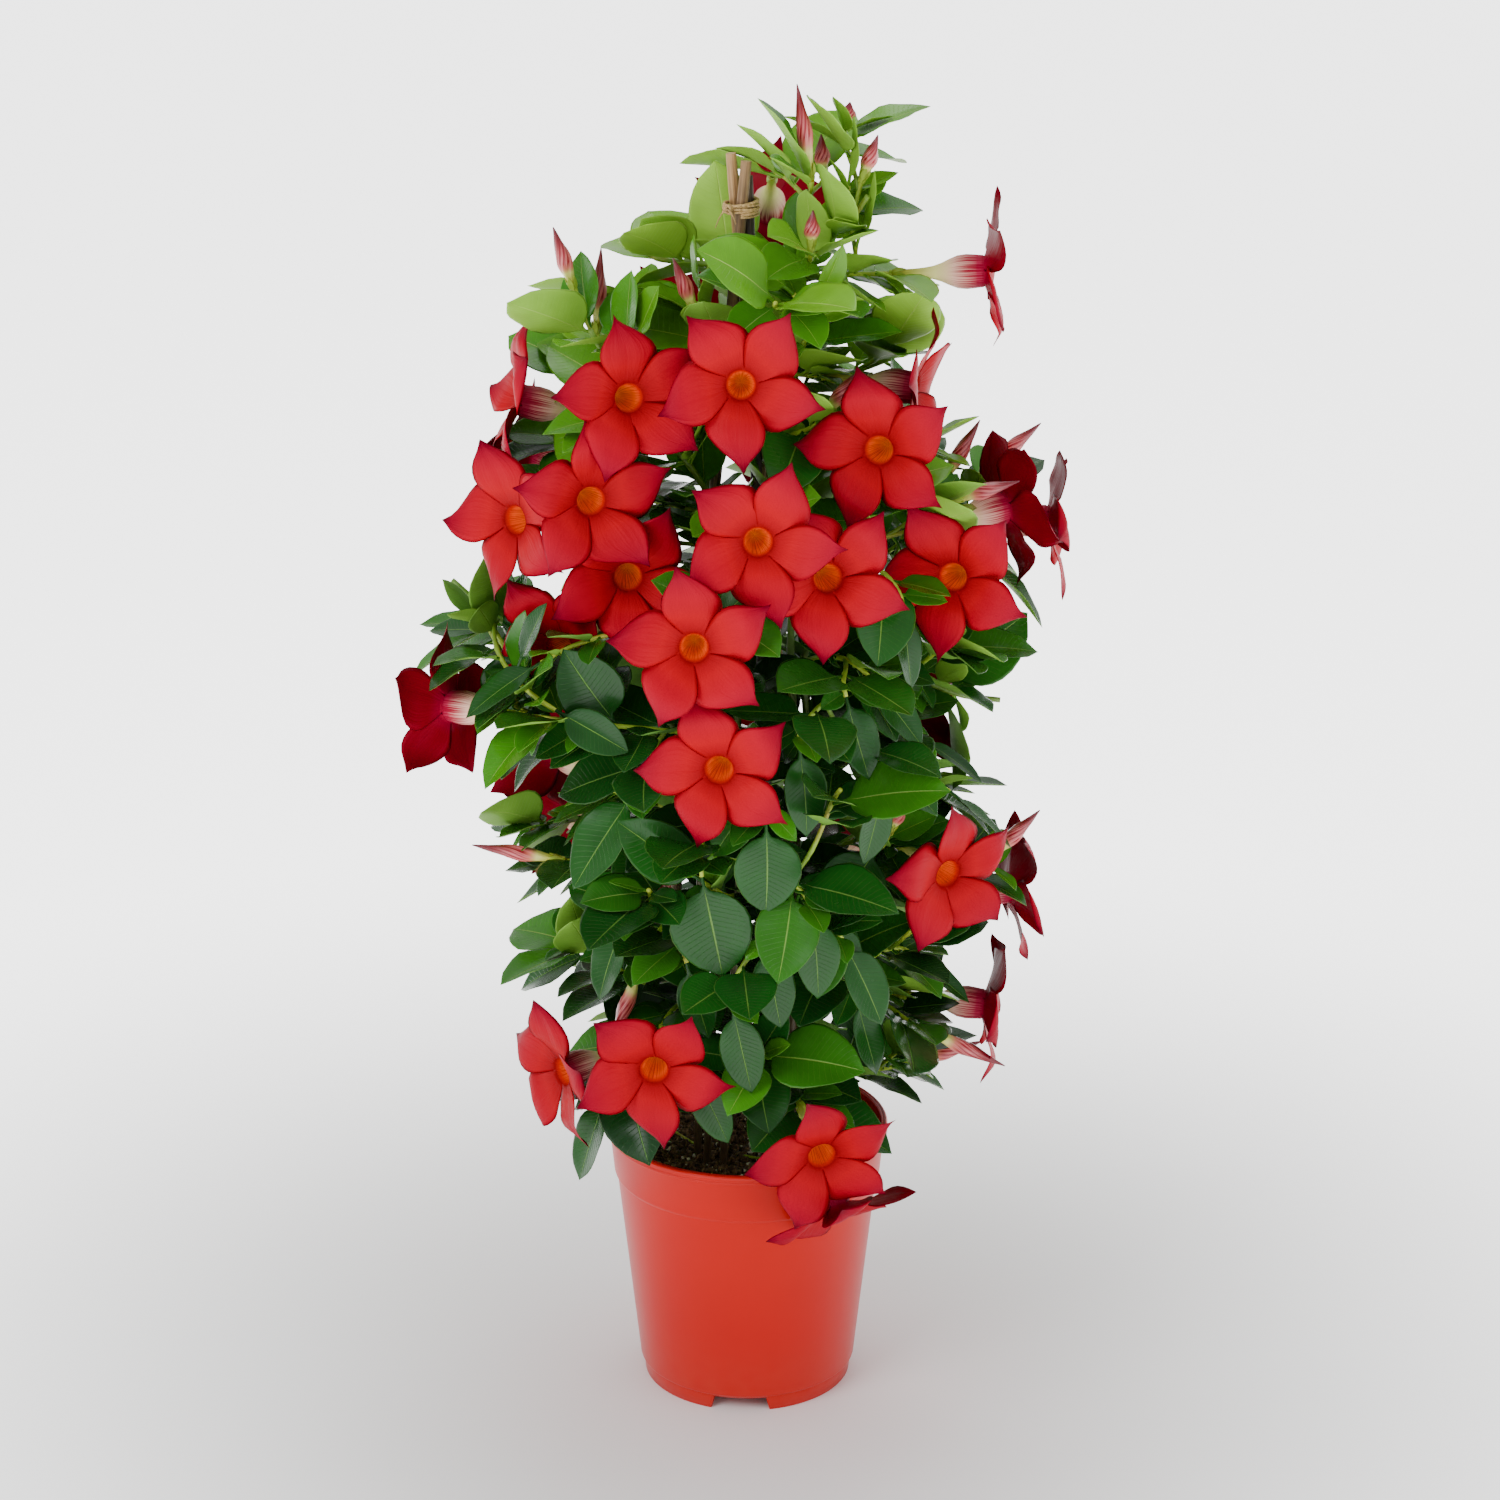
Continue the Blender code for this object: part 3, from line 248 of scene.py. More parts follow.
def make_pot():
    """The pot's wall as one profile turned round. The rows of its foot are raised in the notches, the
    more the lower they lie, so that the foot's upper edge stays level."""
    band_out, wall_out, foot_out = INSIDE_RIM + WALL, INSIDE_BAND + WALL, INSIDE_FOOT + WALL
    band_low = POT_HEIGHT - BAND_HEIGHT
    profile = [(0, FLOOR_HEIGHT), (INSIDE_FLOOR - 2 * MM, FLOOR_HEIGHT),
               (INSIDE_FLOOR, FLOOR_HEIGHT + MM), (INSIDE_FOOT, FOOT_HEIGHT),
               (INSIDE_BAND, UNDER_BAND), (INSIDE_BAND + 2 * MM, UNDER_BAND + MM)]
    profile += [(radius * MM, height * MM) for radius, height in LIP]
    profile += [(band_out, POT_HEIGHT - RIM_HEIGHT - 0.6 * MM), (band_out - 2 * MM, band_low + MM),
                (band_out - 2.3 * MM, band_low), (wall_out + 0.3 * MM, UNDER_BAND + 0.3 * MM),
                (wall_out, UNDER_BAND - 0.4 * MM), (foot_out + FOOT_STEP, FOOT_HEIGHT + 0.8 * MM),
                (foot_out + FOOT_STEP - 0.3 * MM, FOOT_HEIGHT), (foot_out, NOTCH_LEVEL)]
    first = len(profile)
    profile += [(foot_out - 0.1 * MM, 7.9 * MM), (FOOT_RADIUS, 0.4 * MM), (FOOT_RADIUS - 0.4 * MM, 0),
                (INSIDE_FLOOR + 0.4 * MM, 0), (INSIDE_FLOOR, 0.4 * MM)]
    notched = slice(first, len(profile))
    profile += [(INSIDE_FLOOR, FLOOR_HEIGHT - WALL), (0, FLOOR_HEIGHT - WALL), (0, FLOOR_HEIGHT)]
    centres = math.radians(FIRST_NOTCH) + 2 * math.pi * np.arange(NOTCH_COUNT) / NOTCH_COUNT
    half = NOTCH_WIDTH / 2 / FOOT_RADIUS
    steps = np.linspace(-1, 1, 9) * NOTCH_SLOPE / FOOT_RADIUS
    edges = [centre + side * half + steps for centre in centres for side in (-1, 1)]
    angles = np.unique(np.concatenate([np.linspace(-math.pi, math.pi, 145), *edges]).round(6))
    points, uv = turned_skin(profile, angles)
    turned = (angles[:, None] - centres + math.pi) % (2 * math.pi) - math.pi
    off = np.abs(turned).min(axis=1) * FOOT_RADIUS
    raised = NOTCH_HEIGHT * np.clip((NOTCH_WIDTH / 2 - off) / NOTCH_SLOPE, 0, 1)
    low = points[notched, :, 2]
    points[notched, :, 2] = low + raised * (1 - low / NOTCH_LEVEL)
    piece("nursery_pot", [(points, uv, np.zeros(3))], plastic(), "pot_plastic", "pot", sharp=40)


make_pot()

# The soil. Dark peat potting mix pressed in by hand, loose on top: fine crumbs of peat and bark, and
# white grains of perlite. It fills the pot, and the stems and canes stand in it.

SOIL_TOP = 127 * MM
GAP = 0.3 * MM


def pot_inside(height):
    """The pot's inner radius at a height."""
    return np.interp(height, (FLOOR_HEIGHT, FOOT_HEIGHT, UNDER_BAND, POT_HEIGHT),
                     (INSIDE_FLOOR, INSIDE_FOOT, INSIDE_BAND, INSIDE_RIM))


def ripples(x, y, seed, wave, count=9):
    """Uneven ground about 1 high: sines of random turn, phase and length, about one wave long, summed
    over the root of their count."""
    draw = np.random.default_rng(seed)
    turn, phase = draw.uniform(0, 2 * np.pi, (2, count))
    size = 2 * np.pi / (wave * draw.uniform(0.6, 1.7, count))
    sums = np.sin((x[..., None] * np.cos(turn) + y[..., None] * np.sin(turn)) * size + phase)
    return sums.sum(axis=-1) / math.sqrt(count)


def soil_height(x, y):
    """The soil's top: a slow swell of 1.2 mm with lumps of 0.6 mm on it, lower towards the wall."""
    radius = np.hypot(x, y)
    fall = 2.5 * MM * np.clip((radius - 52 * MM) / (18 * MM), 0, 1) ** 2
    return SOIL_TOP + 1.2 * MM * ripples(x, y, 1, 40 * MM) + 0.6 * MM * ripples(x, y, 2, 7 * MM) - fall


def lumps(places, sizes, seed):
    """Small rough grains: a ball's grid of 5 rows and 7 columns, each point's radius changed by up to a
    third, and the whole stretched along x, y and z."""
    draw = np.random.default_rng(seed)
    tilt, turn = np.linspace(-np.pi / 2, np.pi / 2, 5)[:, None], np.linspace(0, 2 * np.pi, 7)
    ball = np.stack([np.cos(tilt) * np.cos(turn), np.cos(tilt) * np.sin(turn),
                     np.broadcast_to(np.sin(tilt), (5, 7))], axis=-1)
    rough = draw.uniform(0.66, 1.1, (len(places), 5, 7, 1))
    rough[:, :, -1] = rough[:, :, 0]
    rough[:, 0], rough[:, -1] = rough[:, 0, :1], rough[:, -1, :1]
    stretch = draw.uniform(0.7, 1.3, (len(places), 1, 1, 3))
    return places[:, None, None] + ball * rough * stretch * sizes[:, None, None, None]


def scattered(count, seed, reach, small, large, rise=0.0):
    """Places on the soil drawn evenly over its disc, and a size for each, most of them small. A place
    is the soil's height and a third of the size, lifted by rise."""
    draw = np.random.default_rng(seed)
    radius, turn = reach * np.sqrt(draw.uniform(0, 1, count)), draw.uniform(0, 2 * np.pi, count)
    x, y = radius * np.cos(turn), radius * np.sin(turn)
    sizes = small + (large - small) * draw.uniform(0, 1, count) ** 3
    return np.stack([x, y, soil_height(x, y) + sizes * 0.3 + rise], axis=-1), sizes


def ramp(tree, along, stops):
    """A colour that runs through the stops, {place: screen colour}, as along goes from 0 to 1."""
    node = put(tree, "ShaderNodeValToRGB", {0: along})
    points = node.color_ramp.elements
    while len(points) < len(stops):
        points.new(0.5)
    for point, (place, colour) in zip(points, stops.items()):
        point.position = place
        point.color = screen(*colour)
    return node.outputs[0]


def peat():
    """Damp peat: nearly black brown with paler fibres, rough all over."""
    made, tree, shader = finish("peat", Roughness=0.92)
    where = put(tree, "ShaderNodeTexCoord").outputs["Object"]
    grain = noise(tree, where, 420.0, 8.0)
    colour = ramp(tree, grain, {0.3: (34, 22, 14), 0.45: (72, 50, 34), 0.58: (112, 82, 58),
                                0.72: (160, 128, 96)})
    blotched, _ = mottled(tree, colour, 90.0, 0.3)
    wire(tree, shader, blotched, None, grain, 0.0012)
    return made


def perlite():
    """White volcanic glass puffed into light grains, a little soiled."""
    made, tree, shader = finish("perlite", Roughness=0.8)
    colour, mask = mottled(tree, screen(222, 214, 198), 700.0, 0.16)
    wire(tree, shader, colour, None, mask, 0.0002)
    return made


def make_soil():
    """The soil's body: its top by soil_height out to the wall, then down the wall to a flat bottom.
    The crumbs and the perlite lie on it."""
    share = np.linspace(0, 1, 60)[:, None]
    turn = np.linspace(0, 2 * np.pi, 181)
    radius = share * (float(pot_inside(SOIL_TOP)) - GAP)
    x, y = radius * np.cos(turn), radius * np.sin(turn)
    top = np.stack([x, y, soil_height(x, y)], axis=-1)
    heights = np.array([UNDER_BAND, FOOT_HEIGHT, FLOOR_HEIGHT + GAP, FLOOR_HEIGHT + GAP])
    radii = np.append(pot_inside(heights[:3]) - 2 * GAP, 0)
    side, _ = turned_skin(list(zip(radii, heights)), turn)
    peat_finish = peat()
    crumbs = lumps(*scattered(2400, 3, 67 * MM, 0.7 * MM, 3.4 * MM), 4)
    grains = lumps(*scattered(320, 5, 65 * MM, 0.5 * MM, 1.8 * MM, 1.1 * MM), 6)
    for name, points, made in (("potting_soil", np.concatenate([top, side]), peat_finish),
                               ("soil_crumbs", crumbs, peat_finish),
                               ("perlite_grains", grains, perlite())):
        piece(name, [(points, np.zeros(2), np.zeros(3))], made, "soil", "soil")


make_soil()

# The canes. Three bamboo canes sawn to length, pushed into the soil and leaned together: one
# grey-tan, one dark and weathered in front, one pale. The joints of the bamboo show as low rings.

CANE_RADIUS = 2.9 * MM
CANE_RING = 52 * MM
CANE_DEPTH = 50 * MM
CANE_CROSSING = Vector((-3 * MM, 0, 632 * MM))
CROSSING_RADIUS = 3.9 * MM
CANE_JOINT_STEP = 150 * MM
JOINT_SWELL = 0.45 * MM
JOINT_DIP = 0.25 * MM
CANES = {
    "cane_left": {"angle": 187, "top": 655 * MM, "tone": 0.45},
    "cane_front": {"angle": 288, "top": 647 * MM, "tone": 0.0},
    "cane_right": {"angle": 40, "top": 658 * MM, "tone": 0.9},
}
UP = Vector((0, 0, 1))


def cane_ends(name):
    """The middle of a cane's foot, and of its top."""
    angle = math.radians(CANES[name]["angle"])
    foot = Vector((math.cos(angle), math.sin(angle), 0)) * CANE_RING + UP * SOIL_TOP
    passing = Vector((-math.sin(angle), math.cos(angle), 0)) * CROSSING_RADIUS + CANE_CROSSING
    slope = (passing - foot) / (passing.z - foot.z)
    return foot - slope * CANE_DEPTH, passing + slope * (CANES[name]["top"] - passing.z)


def swept(path, radii, sides, mark=(0.0, 0.0, 0.0), ridges=0.0, twist=0.0):
    """A tube: a ring of the given radius round each point of a path, closed at both ends.

    Ring i, turn a: path[i] + radius (1 + ridges cos 5a) (side[i] cos a + across[i] sin a), where side is
    carried along the path without turning about it, then turned by twist radians in all. Each mark is
    one number, or one for each ring and each of the two ends.
    """
    path = np.array(path, float)
    radii = np.broadcast_to(radii, len(path)).astype(float)
    ahead = np.gradient(path, axis=0)
    ahead /= np.linalg.norm(ahead, axis=1, keepdims=True)
    sides_out = np.empty_like(path)
    side = np.cross(ahead[0], np.eye(3)[np.abs(ahead[0]).argmin()])
    for i, forward in enumerate(ahead):
        side = side - forward * side.dot(forward)
        side /= np.linalg.norm(side)
        sides_out[i] = side
    across = np.cross(ahead, sides_out)
    path = np.concatenate([path[:1], path, path[-1:]])
    radii = np.concatenate([[0], radii, [0]])[:, None, None]
    side, across = (np.concatenate([v[:1], v, v[-1:]])[:, None] for v in (sides_out, across))
    step = np.concatenate([[0], np.cumsum(np.linalg.norm(np.diff(path, axis=0), axis=1))])
    along = (step / step[-1])[:, None]
    turn = np.linspace(0, 2 * np.pi, sides + 1)[None]
    shape = (1 + ridges * np.cos(5 * turn))[..., None] * radii
    turned = (turn + twist * along)[..., None]
    points = path[:, None] + shape * (side * np.cos(turned) + across * np.sin(turned))
    uv = np.stack(np.broadcast_arrays(turn / (2 * np.pi), along), axis=-1)
    marks = np.empty(points.shape)
    for k, value in enumerate(mark):
        marks[..., k] = np.reshape(value, (-1, 1))
    return points, uv, marks


def uv_streaks(tree, across, along, detail=4.0):
    """Long streaks down a surface: soft noise on its UV map, stretched."""
    where = put(tree, "ShaderNodeUVMap", uv_map="UVMap").outputs[0]
    stretched = put(tree, "ShaderNodeMapping", {"Vector": where, "Scale": (across, along, 1.0)}).outputs[0]
    return noise(tree, stretched, 1.0, detail)


def marks_of(tree):
    """The three marks that each piece carries, as outputs."""
    mark = put(tree, "ShaderNodeAttribute", attribute_name="mark").outputs["Vector"]
    return put(tree, "ShaderNodeSeparateXYZ", {0: mark}).outputs


def bamboo():
    """Weathered bamboo: dark brown to straw by the first mark, in long streaks, paler where it is cut."""
    made, tree, shader = finish("bamboo", Roughness=0.62)
    tone, cut, _ = marks_of(tree)
    streaks = uv_streaks(tree, 26.0, 9.0)
    dark = ramp(tree, streaks, {0.3: (30, 22, 16), 0.55: (62, 46, 34), 0.72: (110, 86, 62)})
    pale = ramp(tree, streaks, {0.3: (98, 70, 38), 0.5: (158, 120, 74), 0.7: (198, 164, 116)})
    body = mixed(tree, tone, dark, pale)
    blotched, _ = mottled(tree, body, 60.0, 0.4)
    colour = mixed(tree, cut, blotched, screen(180, 150, 104))
    wire(tree, shader, colour, None, streaks, 0.0006)
    return made


def make_canes():
    """Each cane: a straight, slightly uneven tube with a ring at every joint and a dip on both sides
    of it, each a bell curve along the cane, and with its ends worn round."""
    cane_finish = bamboo()
    for name, cane in CANES.items():
        foot, top = cane_ends(name)
        length = (top - foot).length
        joints = CANE_JOINT_STEP * (np.arange(1, int(length / CANE_JOINT_STEP) + 1) - 0.35)
        near = np.array([-4, -2.4, -1.2, -0.5, 0, 0.5, 1.2, 2.4, 4]) * MM
        spots = np.unique(np.concatenate([np.linspace(0, length, 40), (joints[:, None] + near).ravel()]))
        off = np.abs(spots[:, None] - joints).min(axis=1)
        radii = CANE_RADIUS + JOINT_SWELL * np.exp(-(off / (1.1 * MM)) ** 2)
        radii -= JOINT_DIP * np.exp(-((off - 2.4 * MM) / MM) ** 2)
        radii *= 1 + 0.03 * np.sin(spots * 90 + cane["angle"])
        path = np.array(foot) + np.outer(spots / length, np.array(top - foot))
        radii[[0, -1]] -= 0.3 * MM
        cut = np.zeros(len(spots) + 2)
        cut[[0, -1]] = 1.0
        skin = swept(path, radii, 20, (cane["tone"], cut, 0.0))
        piece(name.replace("cane", "bamboo_cane"), [skin], cane_finish, "bamboo", name, sharp=50)


make_canes()

# The tie. Two strands of dry raffia, wound two and a half times round the three canes where they
# cross, and knotted at the front left with two short tails.

CORD_RADIUS = 1.1 * MM
CORD_TURNS = 2.6
CORD_PITCH = 2.6 * MM
KNOT_ANGLE = 236


def raffia():
    """Dry raffia: straw coloured, with fine fibres along it."""
    made, tree, shader = finish("raffia", Roughness=0.7)
    fibres = uv_streaks(tree, 9.0, 120.0)
    colour = ramp(tree, fibres, {0.3: (112, 80, 44), 0.5: (190, 152, 96), 0.7: (228, 200, 148)})
    wire(tree, shader, colour, None, fibres, 0.0006)
    return made


def make_tie():
    """The winding: two strands on a helix round the crossing. The knot: a coil of one and a half small
    loops that grows outwards. The tails: two thinning strands that fall in a parabola."""
    inner = CROSSING_RADIUS + CANE_RADIUS + 0.45 * MM + CORD_RADIUS
    turns = np.linspace(0, CORD_TURNS, 110)
    angle = -np.pi / 2 + 2 * np.pi * turns
    middle, up = np.array(CANE_CROSSING), np.array(UP)
    sway = 0.5 * MM * np.sin(turns * 9)

    def wound(further, rise, phase):
        """A strand of the winding: the helix, moved outwards and up, with a small sway."""
        radius = inner + further + 0.25 * MM * np.sin(turns * 17 + phase)
        rises = (turns - CORD_TURNS / 2) * CORD_PITCH + rise + sway * np.cos(phase)
        return middle + np.stack([radius * np.cos(angle), radius * np.sin(angle), rises], axis=-1)

    skins = [swept(wound(0, 0.3 * MM, 0), 0.85 * MM, 10, ridges=0.12, twist=30.0),
             swept(wound(0.2 * MM, -0.7 * MM, 2), 0.55 * MM, 8, ridges=0.12, twist=24.0)]
    front = math.radians(KNOT_ANGLE)
    out = np.array([math.cos(front), math.sin(front), 0])
    aside = np.array([-math.sin(front), math.cos(front), 0])
    knot = middle + out * (inner + 1.2 * MM)
    loop = np.linspace(0, 3 * np.pi, 40)
    coil = knot + np.outer(1.3 * MM * np.cos(loop), aside) + np.outer(1.9 * MM * np.sin(loop), up)
    coil += np.outer(0.5 * MM * loop / np.pi, out)
    skins.append(swept(coil, 0.8 * MM, 8))
    share = np.linspace(0, 1, 14)[:, None]
    for turn, drop in ((-0.5, -9 * MM), (0.6, -6 * MM)):
        tail = knot + out * (2 * MM + 2.5 * MM * share) + aside * (turn * 11 * MM * share)
        skins.append(swept(tail + up * drop * share**2, 0.6 * MM * (1 - 0.6 * share[:, 0]), 6))
    piece("raffia_tie", skins, raffia(), "raffia", "tie")


make_tie()

# The stems. Ten twining stems root in the soil and climb the canes. Leafy side shoots and the stalks
# of flowers and buds grow from them. All are laid out for the eye that looks at the plant's front:
# (u, v) is a pixel of its view, 1500 pixels square, and depth is y in millimetres.

EYE = Vector((1.5 * MM, -1.700, 0.905))
EYE_PITCH = math.radians(18.03)
FOCAL_PIXELS = 3466
VIEW_CENTRE = 750
STEM_RADIUS = 2.3 * MM
SHOOT_RADIUS = 1.5 * MM
SHOOT_ROOT = 0.65 * MM
STEM_STEP = 30 * MM
STALK_RADIUS = 1.3 * MM
STEM_RING = 27 * MM
HOLE_DEPTH = 22 * MM
CROSS_LOW = 300 * MM
CROSS_HIGH = 400 * MM
SPARE = 0.5 * MM
TIE_REACH = 11 * MM
TIE_HALF = 6 * MM

# Each stem: the turn of its foot in degrees, the height where it leaves the canes, and where it ends
STEMS = {
    "stem_1": (240, 440, (590, 330, -30)),
    "stem_2": (264, 575, (868, 196, -12)),
    "stem_3": (215, 340, (452, 580, 4)),
    "stem_4": (320, 585, (640, 250, 24)),
    "stem_5": (344, 400, (1000, 700, -6)),
    "stem_6": (10, 500, (930, 330, 30)),
    "stem_7": (75, 430, (900, 600, 80)),
    "stem_8": (102, 540, (800, 330, 62)),
    "stem_9": (130, 330, (600, 700, 92)),
    "stem_10": (158, 300, (500, 820, 20)),
}


def from_photo(u, v, depth):
    """The point in the upright plane y = depth (mm) that the eye sees at the pixel (u, v)."""
    ahead = Vector((0, math.cos(EYE_PITCH), -math.sin(EYE_PITCH)))
    above = Vector((0, math.sin(EYE_PITCH), math.cos(EYE_PITCH)))
    ray = ahead + Vector((1, 0, 0)) * ((u - VIEW_CENTRE) / FOCAL_PIXELS)
    ray += above * ((VIEW_CENTRE - v) / FOCAL_PIXELS)
    return EYE + ray * ((depth * MM - EYE.y) / ray.y)


def smooth_share(value, low, high):
    """A share that grows smoothly from 0 at low to 1 at high."""
    t = min(1.0, max(0.0, (value - low) / (high - low)))
    return t * t * (3 - 2 * t)


def bend(start, leave, arrive, end, count):
    """Points on a cubic curve that leaves start along one vector and comes into end along another."""
    first, last = start + leave, end - arrive
    points = []
    for i in range(count):
        t = i / (count - 1)
        s = 1 - t
        points.append(start * s**3 + first * (3 * s * s * t) + last * (3 * s * t * t) + end * t**3)
    return points


def tube(points, radii, sides, arrive=None):
    """The plain tube that stands for a shoot where room is sought: corners round each point, and faces."""
    corners, faces = [], []
    ahead = (points[1] - points[0]).normalized()
    side = ahead.orthogonal().normalized()
    for i, point in enumerate(points):
        before, after = points[max(i - 1, 0)], points[min(i + 1, len(points) - 1)]
        turned = (after - before).normalized()
        if arrive and i == len(points) - 1:
            turned = arrive
        side = (side - turned * side.dot(turned)).normalized()
        across = turned.cross(side)
        for k in range(sides):
            angle = 2 * math.pi * k / sides
            corners.append(point + (side * math.cos(angle) + across * math.sin(angle)) * radii[i])
    for i in range(len(points) - 1):
        for k in range(sides):
            a, b = i * sides + k, i * sides + (k + 1) % sides
            faces += [(a, b, b + sides), (a, b + sides, a + sides)]
    last = len(corners) - sides
    for k in range(1, sides - 1):
        faces += [(0, k + 1, k), (last, last + k, last + k + 1)]
    return corners, faces


def stem_point(angle, height):
    """Where a stem stands at a height: inside the canes low down, and wound about them higher up."""
    cone = CANE_RING * (CANE_CROSSING.z - height) / (CANE_CROSSING.z - SOIL_TOP)
    outside = max(0.0, cone) + 7.5 * MM + 7 * MM * smooth_share(height, 450 * MM, 590 * MM)
    share = smooth_share(height, CROSS_LOW, CROSS_HIGH)
    radius = STEM_RING * (1 - share) + outside * share
    below, above = max(0.0, CROSS_LOW - height), max(0.0, height - CROSS_HIGH)
    turned = math.radians(angle) - below * 2.2 + above * above / (above + 0.06) * 14
    middle = CANE_CROSSING.x * smooth_share(height, SOIL_TOP, CANE_CROSSING.z)
    return Vector((middle + radius * math.cos(turned), radius * math.sin(turned), height))


def stem_path(name):
    """A stem's points from its foot in the soil, up inside the canes and about them, and out to its
    free end."""
    angle, leaves_at, (u, v, depth) = STEMS[name]
    leaves_at *= MM
    foot = stem_point(angle, SOIL_TOP)
    count = round((leaves_at - SOIL_TOP) / STEM_STEP)
    heights = [SOIL_TOP + (leaves_at - SOIL_TOP) * (i + 1) / count for i in range(count)]
    points = [foot - UP * (HOLE_DEPTH - GAP), foot + UP * 2 * MM]
    points += [stem_point(angle, height) for height in heights]
    start, end = points[-1], from_photo(u, v, depth)
    reach = (end - start).length
    ahead = (start - points[-2]).normalized()
    arrive = ((end - start).normalized() + UP * 0.4).normalized()
    return points + bend(start, ahead * reach * 0.4, arrive * reach * 0.3, end, 6)[1:]


class Placed:
    """What is already in place, to keep the rest clear of it."""

    def __init__(self):
        self.lows, self.highs, self.trees, self.owners = [], [], [], []

    def add(self, owner, shape):
        corners, faces = shape
        spread = np.array([tuple(c) for c in corners])
        self.lows.append(spread.min(axis=0))
        self.highs.append(spread.max(axis=0))
        self.trees.append(BVHTree.FromPolygons(corners, faces))
        self.owners.append(owner)

    def forget_last(self):
        for kept in (self.lows, self.highs, self.trees, self.owners):
            kept.pop()

    def clear(self, shape, apart_from=()):
        """Whether a shape crosses nothing, apart from what the named owners hold."""
        corners, faces = shape
        spread = np.array([tuple(c) for c in corners])
        low, high = spread.min(axis=0), spread.max(axis=0)
        near = np.all((np.array(self.lows) < high) & (np.array(self.highs) > low), axis=1)
        tree = BVHTree.FromPolygons(corners, faces)
        for i in np.nonzero(near)[0]:
            if self.owners[i] not in apart_from and self.trees[i].overlap(tree):
                return False
        return True


def shoot_tries(end, heading):
    """Ways for a shoot to reach its end: from the points on the nearest paths, mostly from below."""
    found = []
    for owner, (_, path, _) in enumerate(paths):
        for i in range(1, len(path) - 1):
            root = path[i]
            if root.z < SOIL_TOP + 20 * MM or any((root - other).length < 7 * MM for other in roots):
                continue
            offset = end - root
            swerve = 1 - offset.normalized().dot(heading)
            if offset.length > 14 * MM and swerve < 0.7:
                cost = offset.length * (1 + swerve) + 1.6 * max(0.0, root.z - end.z + 8 * MM)
                found.append((cost, owner, i, root, path[i + 1] - path[i - 1]))
    found.sort(key=lambda item: item[:3])
    for _, owner, i, root, ahead in found[:26]:
        reach = (end - root).length
        leave = (ahead.normalized() * 0.5 + (end - root).normalized()).normalized()
        yield owner, (root, leave * reach * 0.35, heading * reach * 0.35, end)


def add_shoot(end, heading, radius):
    """Grow a shoot to an end. Returns the stem it is part of, or None where no way there is clear."""
    for parent, curve in shoot_tries(end, heading):
        points = bend(*curve, 4)
        past_root = [points[0].lerp(points[1], 0.12)] + points[1:]
        if placed.clear(tube(past_root, [radius + SPARE] * 4, 3), (parent,)):
            roots.append(points[0])
            placed.add(len(paths), tube(points, [SHOOT_ROOT] + [radius] * 3, 3, heading))
            paths.append((paths[parent][0], points, bend(*curve, 13)))
            return paths[-1][0]
    return None


placed, paths, roots, leafy = Placed(), [], [], set()
pot_side = [Vector((0, 0, z)) for z in (0.0, POT_HEIGHT - RIM_HEIGHT, POT_HEIGHT)]
placed.add("pot", tube(pot_side, (FOOT_RADIUS, RIM_RADIUS, RIM_RADIUS), 30))
for name in CANES:
    foot, top = cane_ends(name)
    foot = foot.lerp(top, (SOIL_TOP - foot.z) / (top.z - foot.z))
    placed.add(name, tube([foot, top], [CANE_RADIUS + SPARE] * 2, 8))
placed.add("tie", tube([CANE_CROSSING - UP * TIE_HALF, CANE_CROSSING + UP * TIE_HALF], [TIE_REACH] * 2, 8))
for name in STEMS:
    points = stem_path(name)
    taper = [STEM_RADIUS + (SHOOT_RADIUS - STEM_RADIUS) * i / (len(points) - 1) for i in range(len(points))]
    leafy.add(len(paths))
    placed.add(len(paths), tube(points, taper, 3))
    paths.append((name, points, points))

# The flowers. Each is a trumpet of one fused piece of petal: a narrow pale tube, a funnel, and five
# broad scarlet lobes, each with a rounded shoulder, a drawn out tip, and one side over its neighbour.

THROAT_RADIUS = 7.5 * MM
TRUMPET = 46 * MM
PETAL_THICKNESS = 1.0 * MM
PETALS = 5
STALK_GAP = 0.7 * MM
PETAL_ROWS = ((19, -12.5, 13.5, 4.5, 0.2), (31, -6, 12.5, 7.0, 0.8))

